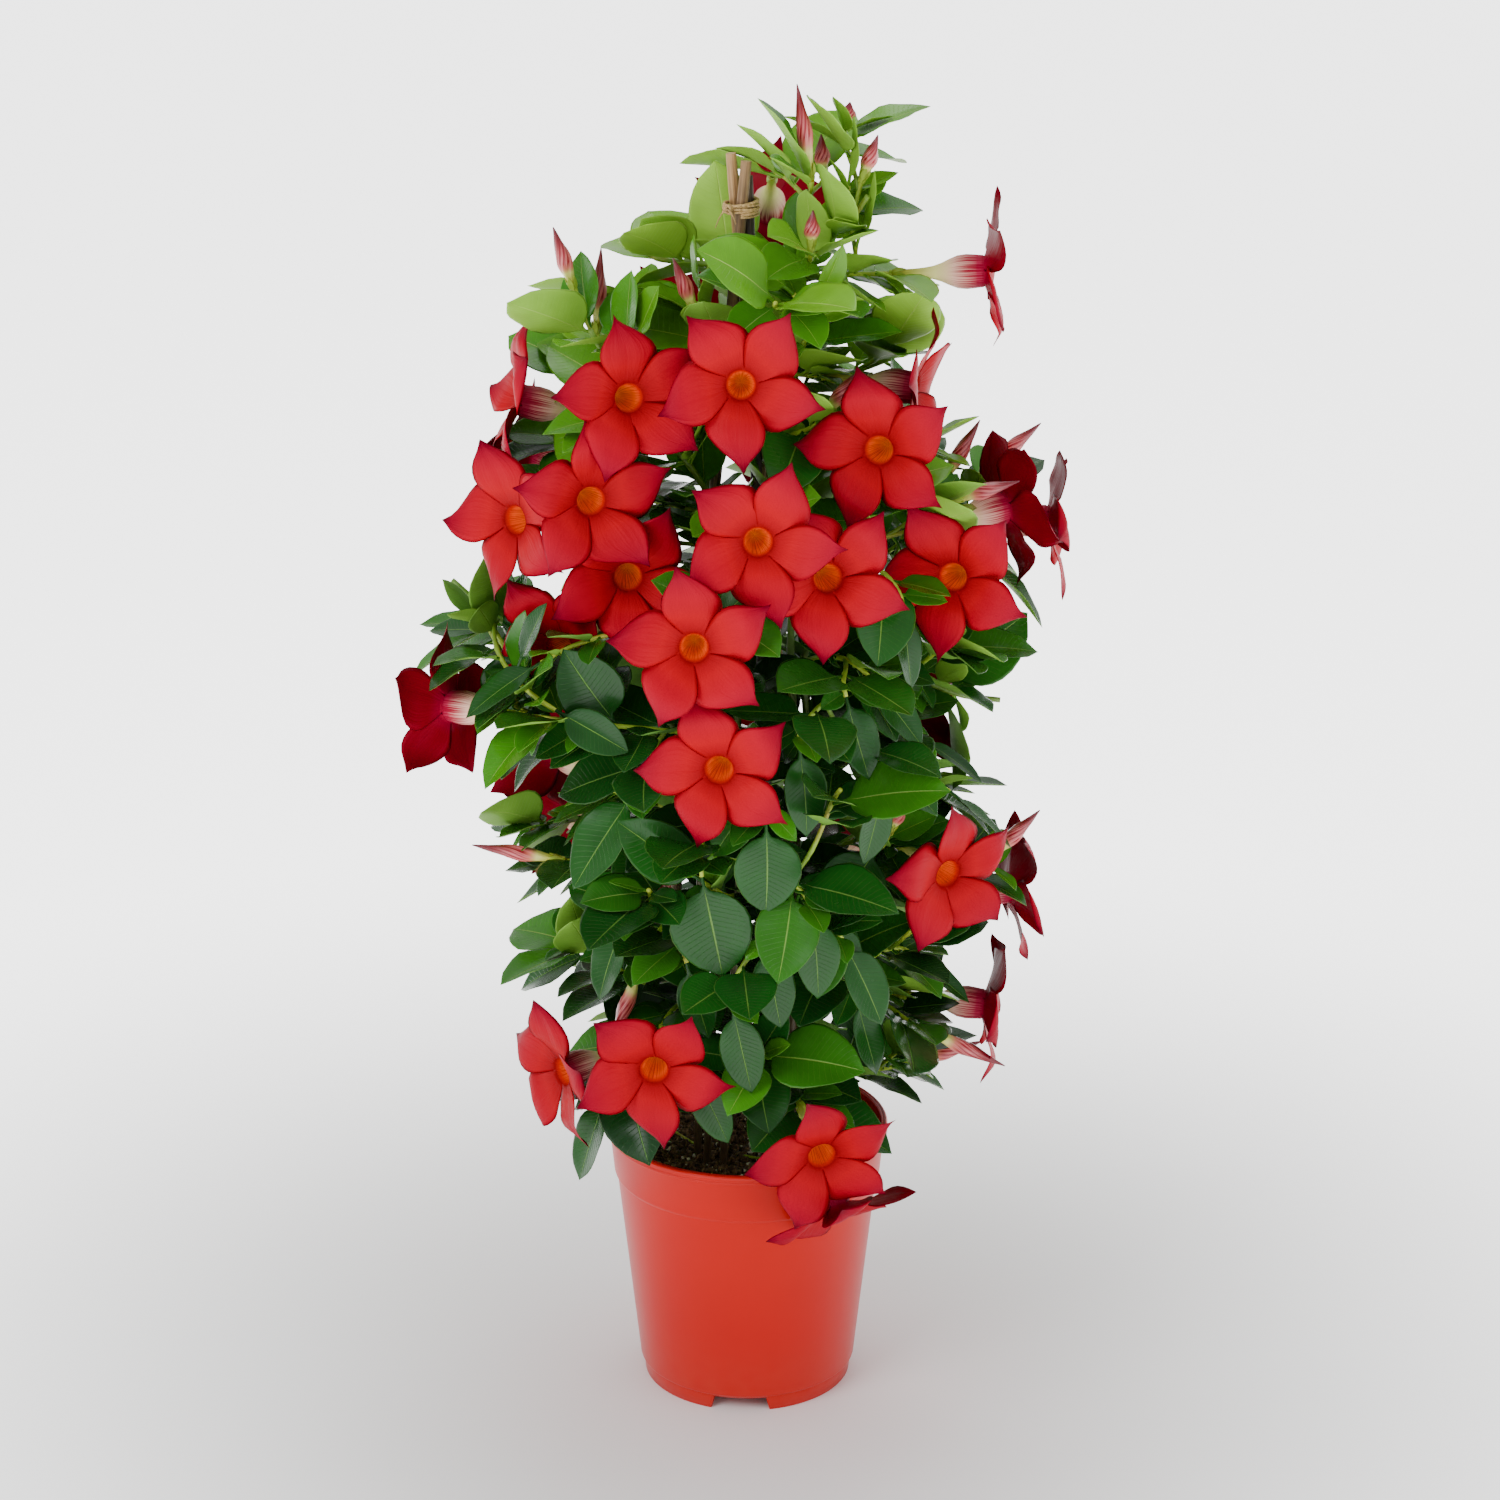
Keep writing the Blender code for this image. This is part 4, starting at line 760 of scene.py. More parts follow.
# Each open flower: pixel (u, v) of its throat, depth y, the way it faces in degrees from the front
# (to the right, up), and the turn of its petals
BLOOMS = [
    (741, 385, -78, 0, 8, 45),
    (879, 450, -62, -15, 5, 24),
    (629, 398, -55, 22, 8, 20),
    (520, 400, -20, -82, 14, 30),
    (591, 501, -78, 20, 0, 10),
    (628, 577, -97, 5, 0, 50),
    (758, 542, -104, 5, 5, 57),
    (828, 578, -96, 12, 5, 38),
    (694, 648, -118, 0, 5, 19),
    (719, 770, -112, -8, 0, 28),
    (953, 577, -58, -18, 5, 38),
    (915, 388, -22, 75, -4, 12),
    (985, 271, 0, 88, 2, 60),
    (1048, 520, 56, 88, 2, 25),
    (1004, 508, -12, 116, 6, 40),
    (515, 520, -52, -42, 4, 33),
    (540, 460, 28, -128, 10, 5),
    (560, 645, -52, -35, -4, 48),
    (451, 706, -44, -124, -4, 22),
    (563, 752, 34, -150, 6, 30),
    (577, 812, 62, -166, 4, 8),
    (907, 718, 40, 128, 5, 52),
    (948, 874, -52, 34, -5, 16),
    (1008, 888, 18, 104, 0, 44),
    (984, 1004, -14, 84, -5, 30),
    (654, 1070, -104, -4, -5, 50),
    (562, 1072, -62, -58, -5, 14),
    (822, 1156, -116, 14, -12, 25),
    (768, 210, 46, 165, -38, 18),
    (690, 330, 96, 172, 6, 40),
    (800, 470, 116, 186, 4, 12),
    (850, 640, 120, 160, 2, 35),
    (730, 760, 130, 184, -2, 20),
    (860, 850, 100, 150, -4, 55),
    (650, 930, 114, 204, -6, 28),
    (836, 1206, -104, 20, -62, 40),
]


def facing(right, up):
    """The unit vector that points the given degrees to the right of the front (-Y) and up."""
    right, up = math.radians(right), math.radians(up)
    return Vector((math.sin(right) * math.cos(up), -math.cos(right) * math.cos(up), math.sin(up)))


def plain_bloom(seed, roll, swell=0.0):
    """The plain trumpet that stands for a flower where room is sought, round +Z."""
    draw = random.Random(f"bloom {seed}")
    steps = 2 * PETALS
    half_thick = PETAL_THICKNESS / 2 + swell
    inner = THROAT_RADIUS - swell
    outer = THROAT_RADIUS + 0.9 * MM + swell

    def ring(radius, height, count, start=0.0):
        turns = [math.radians(roll - 36 + start + 360 * k / count) for k in range(count)]
        return [Vector((radius * math.cos(a), radius * math.sin(a), height)) for a in turns]

    corners = ring(inner, 0.0, steps) + ring(outer, -PETAL_THICKNESS - swell, steps)
    faces = []
    for p in range(PETALS):
        angle = math.radians(roll + 72 * p)
        out = Vector((math.cos(angle), math.sin(angle), 0))
        aside = Vector((-math.sin(angle), math.cos(angle), 0))
        curl = draw.uniform(-7, 5) * MM
        rise = draw.uniform(-1.5, 2.5) * MM
        base = len(corners)
        for reach, left, right, height, share in PETAL_ROWS:
            middle = out * (reach * MM) + UP * (height * MM + rise * share)
            low = UP * (-1.6 * MM)
            high = UP * (2.4 * MM + curl * share * 0.5)
            corners.append(middle + aside * (left * MM - swell) + low)
            corners.append(middle + aside * (1.5 * MM) + UP * half_thick)
            corners.append(middle + aside * (right * MM + swell) + high)
            corners.append(middle + aside * (1.5 * MM) - UP * half_thick)
        corners.append(out * (41.5 * MM + swell) + aside * (8 * MM) + UP * (6 * MM + rise + curl))
        a, b, c = 2 * p, 2 * p + 1, (2 * p + 2) % steps
        l, m, r, n = base, base + 1, base + 2, base + 3
        faces += [(a, l, m), (a, m, b), (b, m, r), (b, r, c)]
        a, b, c = a + steps, b + steps, c + steps
        faces += [(a, n, l), (a, b, n), (b, r, n), (b, c, r)]
        faces += [(a - steps, a, l), (c - steps, r, c)]
        faces += [(l, m + 4, m), (l, l + 4, m + 4), (m, m + 4, r), (r, m + 4, r + 4)]
        faces += [(l, n, n + 4), (l, n + 4, l + 4), (n, r, n + 4), (r, r + 4, n + 4)]
        l, m, r, n = (k + 4 for k in (l, m, r, n))
        faces += [(l, n + 1, m), (m, n + 1, r), (l, n, n + 1), (n, r, n + 1)]

    def skin(upper, lower, upper_count, lower_count):
        """Faces between two rings, where the lower one has as many corners or half as many."""
        made = []
        for k in range(upper_count):
            a, b = upper + k, upper + (k + 1) % upper_count
            c = lower + k * lower_count // upper_count
            d = lower + (k + 1) * lower_count // upper_count % lower_count
            made.append((a, c, b))
            if c != d:
                made.append((b, c, d))
        return made

    first = len(corners)
    corners += ring(8.6 * MM + swell, -13 * MM, PETALS, 18)
    corners += ring(3.3 * MM + swell, -25 * MM, PETALS, 18)
    corners += ring(2.0 * MM + swell, -TRUMPET, PETALS, 18)
    corners.append(Vector((0, 0, -20 * MM)))
    neck, end, well = first + PETALS, first + 2 * PETALS, first + 3 * PETALS
    faces += skin(steps, first, steps, PETALS)
    faces += skin(first, neck, PETALS, PETALS)
    faces += skin(neck, end, PETALS, PETALS)
    faces.append(tuple(range(end, end + PETALS))[::-1])
    faces += [(k, (k + 1) % steps, well) for k in range(steps)]
    return corners, faces


def moved(shape, matrix):
    """A shape's corners carried by a matrix, with its faces."""
    return [matrix @ corner for corner in shape[0]], shape[1]


def bloom_frame(throat, ahead):
    """The matrix that puts a bloom's throat at a point, facing a direction, with its petals upright."""
    right = UP.cross(ahead).normalized()
    return Matrix.Translation(throat) @ Matrix((right, ahead.cross(right), ahead)).transposed().to_4x4()


def bloom_tries(u, v, depth, right, up):
    """A bloom's possible places: first the one in the table, then slid along the line of sight, turned."""
    for turn in (0, 9, -9, 18, -18):
        for slide in (0, 6, -6, 12, -12, 18, -18, 25, -25, 33, -33):
            yield bloom_frame(from_photo(u, v, depth + slide), facing(right + turn, up + turn * 0.4))


blooms = []
for number, (u, v, depth, right, up, roll) in enumerate(BLOOMS, 1):
    for place in bloom_tries(u, v, depth, right, up):
        if not placed.clear(moved(plain_bloom(number, roll, SPARE), place)):
            continue
        placed.add("bloom", moved(plain_bloom(number, roll), place))
        ahead = place.to_3x3() @ UP
        node = add_shoot(place @ Vector((0, 0, -TRUMPET - STALK_GAP)), ahead, STALK_RADIUS)
        if node:
            blooms.append((number, place, roll, node))
            if number % 2:
                leafy.add(len(paths) - 1)
            break
        placed.forget_last()


def curve_through(knots, values, at):
    """A smooth curve through values at knots: cubic pieces whose slopes are the mean of both sides."""
    knots, values = np.array(knots, float), np.array(values, float)
    slopes = np.gradient(values, knots)
    i = np.clip(np.searchsorted(knots, at, side="right") - 1, 0, len(knots) - 2)
    step = knots[i + 1] - knots[i]
    t = (at - knots[i]) / step
    return (values[i] * (1 + 2 * t) * (1 - t) ** 2 + slopes[i] * step * t * (1 - t) ** 2
            + values[i + 1] * t * t * (3 - 2 * t) + slopes[i + 1] * step * t * t * (t - 1))


# The shares of a lobe's length where its skins have a row, and those where its two edges are given.
# An edge is (distances from the flower's axis, distances aside), and the throat and the trumpet are
# half profiles of (radius, height), all in millimetres.
LOBE_ROWS = (0, 0.05, 0.11, 0.18, 0.26, 0.35, 0.44, 0.53, 0.62, 0.71, 0.79, 0.86, 0.92, 0.97, 1.0)
PETAL_SHARES = (0, 0.16, 0.34, 0.5, 0.64, 0.78, 0.9, 1.0)
LEFT_EDGE = ((6.07, 11, 17, 22, 27, 32.5, 37.5, 41.5), (-4.41, -9.6, -13.8, -14.6, -11.8, -4.6, 4.0, 8))
RIGHT_EDGE = ((6.07, 11.5, 17, 21.5, 26.5, 31.5, 36.5, 41.5), (4.41, 9.9, 14.0, 15.4, 14.8, 12.2, 9.2, 8))
THROAT_PROFILE = ((0, -18), (2.6, -17), (4.0, -13), (5.0, -9), (5.7, -5), (6.2, -2.6), (6.8, -1.0))
TRUMPET_PROFILE = ((0, -46), (2.0, -46), (2.05, -41), (2.2, -35), (2.6, -30), (3.3, -25.5), (4.6, -21.5),
                   (6.5, -17.5), (8.1, -13.5), (8.6, -9), (8.3, -5), (8.0, -2.2), (8.0, -1.0))


def flower_skins(number, place, roll):
    """The flower's front and back skins, in five sectors, each turned by 72 degrees from the last.

    Across a sector t runs from -1 to 1. A row of the throat or of the trumpet is an arc of radius r at
    height z. A row of the lobe, s from 0 at the throat to 1 at the tip, runs from left(s) to right(s),
    two edge curves, at height(s) + a t + b t^2, so that its right side lies over the next lobe. To that
    comes a ruffle sin(7 s + 2.2 t) t^2, a left edge that rolls back by t^2 s, and a groove down the
    middle. The two skins lie 0.6 (1 - t^2) mm apart and meet at the edges.
    """
    draw = random.Random(f"bloom {number}")
    ruffle = random.Random(f"ruffle {number}")
    t = np.linspace(-1, 1, 11)
    arc = np.radians(36) * t
    s = np.array(LOBE_ROWS)[:, None]
    lip = np.clip(1 - s / 0.3, 0, 1)
    skins = []
    for p in range(PETALS):
        angle = math.radians(roll + 72 * p)
        curl, rise = draw.uniform(-7, 5), draw.uniform(-1.5, 2.5)
        slim, wave, phase = ruffle.uniform(0.94, 1.04), ruffle.uniform(0.5, 1.6), ruffle.uniform(0, 6.28)
        roll_back = ruffle.uniform(1, 6)
        columns = (*LEFT_EDGE, *RIGHT_EDGE)
        left_out, left, right_out, right = (curve_through(PETAL_SHARES, column, s) for column in columns)
        width = 1 - (1 - slim) * np.clip(s / 0.4, 0, 1)
        out = (left_out + right_out) / 2 + (right_out - left_out) / 2 * t + 1.43 * (1 - t**2) * lip
        aside = ((left + right) / 2 + (right - left) / 2 * t) * width + 8 * (1 - width)
        heights = (0, 4.2 + 0.2 * rise, 7 + 0.8 * rise, 6 + rise + curl)
        height = curve_through((0, 0.36, 0.76, 1.0), heights, s)
        high = 2.4 + curl * 0.5 * s
        tilt = np.clip(s / 0.36, 0, 1) ** 1.5 * (1 - np.clip((s - 0.7) / 0.3, 0, 1) ** 2)
        lift = tilt * ((high + 1.6) / 2 * t + (high - 1.6) / 2 * t**2)
        lift = lift + tilt * wave * np.sin(7 * s + 2.2 * t + phase) * t**2
        lift = lift - tilt * roll_back * np.clip(-t - 0.1, 0, 1) ** 2 * s
        lift = lift - 0.5 * np.exp(-(t / 0.16) ** 2) * np.sin(np.pi * s)
        thick = 0.3 * (1 - t**2) * np.clip((1 - s) / 0.1, 0, 1)
        for front in (1, -1):
            funnel = THROAT_PROFILE if front == 1 else TRUMPET_PROFILE
            radius, depth = (np.array(column)[:, None] for column in zip(*funnel))
            outs = np.concatenate([radius * np.cos(arc), out])
            asides = np.concatenate([radius * np.sin(arc), aside])
            ups = np.concatenate([depth + 0 * t, height + lift + front * thick])
            x = outs * math.cos(angle) - asides * math.sin(angle)
            y = outs * math.sin(angle) + asides * math.cos(angle)
            points = np.stack([x, y, ups], axis=-1) * MM @ np.array(place.to_3x3()).T
            points += np.array(place.translation)
            ring = 0.3 if front == 1 else 0.5
            start = np.linspace(0, ring, len(funnel) + 1)[:-1]
            along = np.concatenate([start, ring + (1 - ring) * s[:, 0]])[:, None]
            uv = np.stack(np.broadcast_arrays((p + (t + 1) / 2) / PETALS, along), axis=-1)
            marks = np.stack(np.broadcast_arrays(along, (front + 1) / 2, np.abs(t)), axis=-1)
            skins.append((points, uv, marks))
    return skins


def petal():
    """Velvety petal: orange throat in a ring of painted shade, scarlet lobes with crimson edges, and a
    darker back that fades through pink stripes to pale yellow down the tube."""
    made, tree, shader = finish("petal", Specular_IOR_Level=0.04)
    along, front, edge = marks_of(tree)
    streaks = uv_streaks(tree, 90.0, 2.0, 3.0)
    # From along 0.18 the throat's orange turns to the lobes' scarlet, their real colour; the dip to dark red
    # around 0.29, where the throat meets the lobes, is painted shade round the throat.
    inside = ramp(tree, along, {
        0.0: (240, 140, 20), 0.1: (246, 118, 8), 0.18: (232, 84, 6), 0.24: (184, 26, 6),
        0.29: (120, 0, 14), 0.37: (142, 0, 22), 0.5: (160, 0, 26), 0.72: (156, 0, 34),
        0.9: (138, 0, 38), 1.0: (86, 0, 28)})
    rim = times(tree, between(tree, edge, 0.9, 1.0), between(tree, along, 0.55, 0.8))
    inside = mixed(tree, times(tree, rim, 0.4), inside, screen(112, 0, 26))
    throat = times(tree, between(tree, along, 0.3, 0.2), between(tree, streaks, 0.45, 0.6))
    inside = mixed(tree, times(tree, throat, 0.6), inside, screen(150, 30, 4))
    outside = ramp(tree, along, {
        0.0: (150, 166, 44), 0.1: (190, 192, 84), 0.2: (226, 218, 140), 0.29: (226, 180, 160),
        0.4: (176, 50, 80), 0.5: (130, 6, 40), 0.62: (122, 0, 30), 1.0: (110, 0, 28)})
    stripe = times(tree, between(tree, streaks, 0.42, 0.56),
                   times(tree, between(tree, along, 0.24, 0.36), between(tree, along, 0.6, 0.42)))
    outside = mixed(tree, stripe, outside, screen(140, 4, 44))
    colour, mask = mottled(tree, mixed(tree, front, outside, inside), 45.0, 0.07)
    rough = maths(tree, "ADD", times(tree, mask, 0.1), 0.4)
    wire(tree, shader, colour, rough, streaks, 0.0004)
    return made


petal_finish = petal()
for number, place, roll, _ in blooms:
    skins = flower_skins(number, place, roll)
    piece(f"flower_{number:02}", skins, petal_finish, "petal", f"bloom_{number:02}")

# The buds. Each is a flower still rolled up: a pale green base, a belly striped pink and white, and a
# drawn out crimson tip, all twisted like a furled umbrella.

# Each bud: pixels of its tip and of its base, and its depth y
BUDS = [
    (797, 84, 811, 177, -8),
    (821, 134, 823, 176, 12),
    (813, 210, 811, 248, -26),
    (878, 135, 862, 180, 0),
    (850, 102, 846, 124, 14),
    (553, 227, 574, 290, -10),
    (601, 248, 596, 334, 0),
    (673, 258, 696, 314, -22),
    (860, 370, 824, 416, -40),
    (1041, 423, 985, 470, 6),
    (980, 420, 942, 483, 8),
    (1020, 481, 950, 500, -30),
    (472, 845, 562, 860, -10),
    (611, 1045, 640, 968, -52),
    (1005, 1066, 925, 1030, -34),
    (983, 1041, 912, 1062, 20),
    (1040, 810, 990, 858, -2),
    (905, 798, 890, 832, -50),
    (655, 860, 668, 905, 92),
    (880, 480, 862, 520, 92),
]


def plain_bud(base, tip, swell=0.0):
    """The plain spindle that stands for a bud where room is sought."""
    shares = (-0.05, 0.12, 0.38, 0.68, 1.0)
    radii = (2.0 * MM, 2.3 * MM, 3.1 * MM, 1.8 * MM, 0.3 * MM)
    points = [base + (tip - base) * share for share in shares]
    return tube(points, [r + swell for r in radii], 4)


buds = []
for tip_u, tip_v, base_u, base_v, depth in BUDS:
    for slide in (0, 6, -6, 12, -12, 20, -20):
        tip, base = from_photo(tip_u, tip_v, depth + slide), from_photo(base_u, base_v, depth + slide)
        if not placed.clear(plain_bud(base, tip, SPARE)):
            continue
        node = add_shoot(base, (tip - base).normalized(), STALK_RADIUS)
        if node:
            buds.append((node, base, tip))
            placed.add("bud", plain_bud(base, tip))
            break


def bud_skin(base, tip):
    """A bud: a spindle of radius(t) along base to tip, with five twisted ridges."""
    share = np.linspace(-0.05, 1, 22)
    knots = (-0.05, 0.05, 0.16, 0.3, 0.43, 0.56, 0.7, 0.86, 1.0)
    radii = curve_through(knots, (1.5, 1.6, 2.0, 3.1, 3.9, 3.6, 2.5, 1.3, 0.25), share) * MM
    path = np.array(base) + np.outer(share, np.array(tip - base))
    along = np.concatenate([[0], np.clip(share, 0, 1), [1]])
    return swept(path, radii, 20, (along, 0.0, 0.0), 0.07, 3.4)


def bud_colours():
    """A bud's skin: yellow-green, then cream, then crimson that starts in stripes between its ridges."""
    made, tree, shader = finish("bud_skin", Roughness=0.36, Coat_Weight=0.2)
    along = marks_of(tree)[0]
    streaks = uv_streaks(tree, 22.0, 1.5, 3.0)
    colour = ramp(tree, along, {
        0.0: (150, 140, 30), 0.1: (176, 176, 48), 0.28: (224, 218, 120), 0.36: (206, 110, 90),
        0.44: (150, 8, 34), 0.7: (128, 4, 30), 1.0: (92, 14, 34)})
    stripes = times(tree, between(tree, streaks, 0.44, 0.56),
                    times(tree, between(tree, along, 0.26, 0.38), between(tree, along, 0.8, 0.5)))
    colour = mixed(tree, times(tree, stripes, 0.8), colour, screen(226, 120, 120))
    wire(tree, shader, colour, None, streaks, 0.0004)
    return made


bud_finish = bud_colours()
for name in STEMS:
    own = [bud_skin(base, tip) for node, base, tip in buds if node == name]
    if own:
        piece(f"{name}_buds", own, bud_finish, "petal", name)

# The leaves. They grow in opposite pairs: leathery, glossy, broadly oval with a short point, folded a
# little along a pale midrib. The old ones are dark, the young ones by the tips small and bright.

BLADE_THICKNESS = 1.0 * MM
PETIOLE = 0.85 * MM
ROOT = 0.45 * MM
LEAF_TRIES = 12
LAST_PAIR = 0.93
PAIR_OFFSET = 2.6 * MM
SHOOT_COUNT = 24
GOLDEN_ANGLE = 137.5

# Each large leaf that stands out in front: pixels of its base and of its tip, its depth y, and how
# wide it is for its length
LARGE_LEAVES = [
    (705, 893, 722, 978, -96, 0.92),
    (690, 873, 618, 822, -92, 0.62),
    (625, 807, 569, 888, -84, 0.60),
    (567, 717, 629, 753, -78, 0.55),
    (551, 716, 495, 766, -58, 0.50),
    (529, 671, 463, 715, -66, 0.48),
    (522, 657, 543, 602, -74, 0.50),
    (766, 838, 766, 915, -104, 0.85),
    (812, 925, 820, 1000, -100, 0.60),
    (850, 955, 885, 1025, -84, 0.60),
    (770, 955, 782, 1030, -100, 0.55),
    (735, 1020, 752, 1095, -100, 0.55),
    (690, 975, 708, 1040, -84, 0.55),
    (700, 1085, 728, 1145, -84, 0.55),
    (620, 935, 596, 1000, -72, 0.60),
    (860, 1010, 880, 1075, -66, 0.55),
    (920, 960, 972, 1000, -38, 0.50),
    (880, 690, 925, 745, -66, 0.60),
    (850, 710, 872, 780, -88, 0.62),
    (800, 760, 808, 838, -100, 0.55),
    (880, 800, 866, 866, -74, 0.55),
    (905, 620, 915, 690, -70, 0.50),
    (930, 745, 985, 780, -34, 0.42),
    (960, 800, 1015, 845, -10, 0.45),
    (600, 1110, 575, 1180, -58, 0.60),
    (860, 235, 880, 170, -10, 0.55),
    (850, 175, 858, 115, 2, 0.50),
    (820, 300, 846, 246, -30, 0.55),
    (782, 285, 720, 234, -30, 0.60),
    (640, 330, 656, 285, -34, 0.90),
    (700, 290, 690, 235, -8, 0.50),
    (475, 610, 440, 580, -8, 0.45),
    (490, 600, 500, 560, 0, 0.45),
]


def plain_leaf(base, along, normal, length, width, droop, swell=0.0):
    """The plain folded blade that stands for a leaf where room is sought."""
    across = along.cross(normal).normalized()
    normal = across.cross(along).normalized()
    half_thick = BLADE_THICKNESS / 2 + swell
    rows = [(0.0, ROOT, 0.0), (0.16, PETIOLE, 0.0), (0.44, width * 0.49, 0.12),
            (0.76, width * 0.40, 0.10)]
    corners, faces = [], []
    for t, half_width, fold in rows:
        middle = base + along * (length * t) - normal * (droop * length * t * abs(t))
        spread = half_width + swell
        lift = normal * (fold * half_width * 2)
        thick = half_width if fold == 0.0 else half_thick
        corners += [middle - across * spread + lift, middle + normal * thick,
                    middle + across * spread + lift, middle - normal * thick]
    corners.append(base + along * length - normal * (droop * length))
    for i in range(len(rows) - 1):
        for k in range(4):
            a, b = i * 4 + k, i * 4 + (k + 1) % 4
            if k % 2 == 0:
                faces += [(a, b, b + 4), (a, b + 4, a + 4)]
            else:
                faces += [(a, b, a + 4), (b, b + 4, a + 4)]
    last = (len(rows) - 1) * 4
    for k in range(4):
        faces.append((last + k, last + (k + 1) % 4, last + 4))
    faces += [(3, 2, 1), (3, 1, 0)]
    return corners, faces


def leaf_tries(name, index, path, share, length, width):
    """A leaf's possible poses at a place on its path: each a little more turned, and smaller later on."""
    place = share * (len(path) - 1)
    i = min(int(place), len(path) - 2)
    ahead = (path[i + 1] - path[i]).normalized()
    base = path[i].lerp(path[i + 1], place - i) - ahead * (index % 2) * PAIR_OFFSET
    level = ahead.cross(UP)
    level = level.normalized() if level.length > 0.2 else Vector((1, 0, 0))
    outward = Vector((base.x, base.y, 0.02)).normalized()
    for attempt in range(LEAF_TRIES):
        draw = random.Random(f"{name} {index} {attempt}")
        turn = math.radians(90 * (index // 2 % 2) + 180 * (index % 2) + draw.uniform(-40, 40))
        aside = Matrix.Rotation(turn, 3, ahead) @ level
        along = (aside + ahead * draw.uniform(0.1, 0.7) + outward * draw.uniform(0.3, 0.9)
                 + UP * draw.uniform(-0.35, 0.3)).normalized()
        normal = (UP * draw.uniform(0.5, 1.0) + outward * draw.uniform(0.2, 0.9)).normalized()
        size = draw.uniform(0.85, 1.15) * (1 - 0.035 * attempt)
        yield base, along, normal, length * size, width * size, draw.uniform(0.02, 0.26)


leaves = []
for base_u, base_v, tip_u, tip_v, depth, ratio in LARGE_LEAVES:
    for slide in (0, 6, -6, 12, -12, 20, -20):
        base = from_photo(base_u, base_v, depth + slide)
        tip = from_photo(tip_u, tip_v, depth + slide - 6)
        along, length = (tip - base).normalized(), (tip - base).length
        normal = (Vector((base.x, base.y, 0)).normalized() + UP * 0.6).normalized()
        start = base - along * length * 0.2
        args = (start, along, normal, length * 1.2, length * ratio, 0.06)
        if not placed.clear(plain_leaf(*args, SPARE)):
            continue
        node = add_shoot(start + along * 0.5 * MM, along, STALK_RADIUS)
        if node:
            leaves.append((node, args, 0.12 if base_v > 360 else 0.75))
            placed.add("leaf", plain_leaf(*args))
            break

for i in range(SHOOT_COUNT):
    height = 175 * MM + 430 * MM * (i + 0.5) / SHOOT_COUNT
    reach = (62 + 46 * math.sin(math.pi * min(1, (height / MM - 120) / 480))) * MM
    angle = math.radians(GOLDEN_ANGLE * i)
    outward = Vector((math.cos(angle), math.sin(angle), 0))
    for shift in (0, 8, -8, 16, -16):
        end = outward * reach + UP * (height + shift * MM)
        if add_shoot(end, (outward + UP * 0.7).normalized(), SHOOT_RADIUS):
            leafy.add(len(paths) - 1)
            break


def leaf_age(share, height, draw):
    """How young a leaf is, from 0 to 1: younger towards the end of its shoot and the top of the plant."""
    young = 0.5 * share**3 + 0.55 * smooth_share(height, 380 * MM, 620 * MM) + draw.uniform(-0.2, 0.2)
    return min(1.0, max(0.0, young))


def hides_tie(base, along, length):
    """Whether the middle of a leaf would stand between the eye and the tie."""
    middle = base + along * length * 0.6
    view = (CANE_CROSSING - EYE).normalized()
    return middle.y < 0 and (middle - EYE).cross(view).length < 27 * MM


def add_leaves(label, owners, first, last, length, width, step, start):
    """Pairs of leaves up the numbered paths, from one share of a path's length to another, about one
    step apart and where they are clear. Leaves of a labelled round also leave the tie in sight."""
    for i in owners:
        node, points, _ = paths[i]
        total = sum((b - a).length for a, b in zip(points, points[1:]))
        pairs = round(total * (last - first) / step)
        for k in range(2 * pairs):
            share = first + (min(last, LAST_PAIR) - first) * (k // 2 + start) / pairs
            for args in leaf_tries(f"{label}{node} {i}", k, points, share, length, width):
                if label and hides_tie(args[0], args[1], args[3]):
                    continue
                if placed.clear(plain_leaf(*args, SPARE), (i,)):
                    age = leaf_age(share, args[0].z, random.Random(f"age {label}{node} {i} {k}"))
                    leaves.append((node, args, age))
                    placed.add("leaf", plain_leaf(*args))
                    break


main_stems, every_path = range(len(STEMS)), range(len(paths))
leafy_shoots = sorted(leafy.difference(main_stems))
for label, owners, first, last, length, width, step, start in (
        ("", main_stems, 0.5, 1, 54, 34, 52, 0.9),
        ("", leafy_shoots, 0.2, 1, 54, 34, 52, 0.9),
        ("fill ", every_path, 0.22, 1, 50, 33, 34, 0.5),
        ("more ", every_path, 0.3, 1, 40, 26, 30, 0.7),
        ("young ", every_path, 0.5, 1, 26, 14, 26, 0.95),
        ("low ", main_stems, 0.1, 0.42, 46, 31, 26, 0.5)):
    add_leaves(label, owners, first, last, length * MM, width * MM, step * MM, start)


# The rows of a leaf's skin, as shares of its length
LEAF_ROWS = (0, 0.1, 0.155, 0.175, 0.21, 0.27, 0.35, 0.45, 0.56, 0.67, 0.77, 0.86, 0.93, 0.97, 1.0)


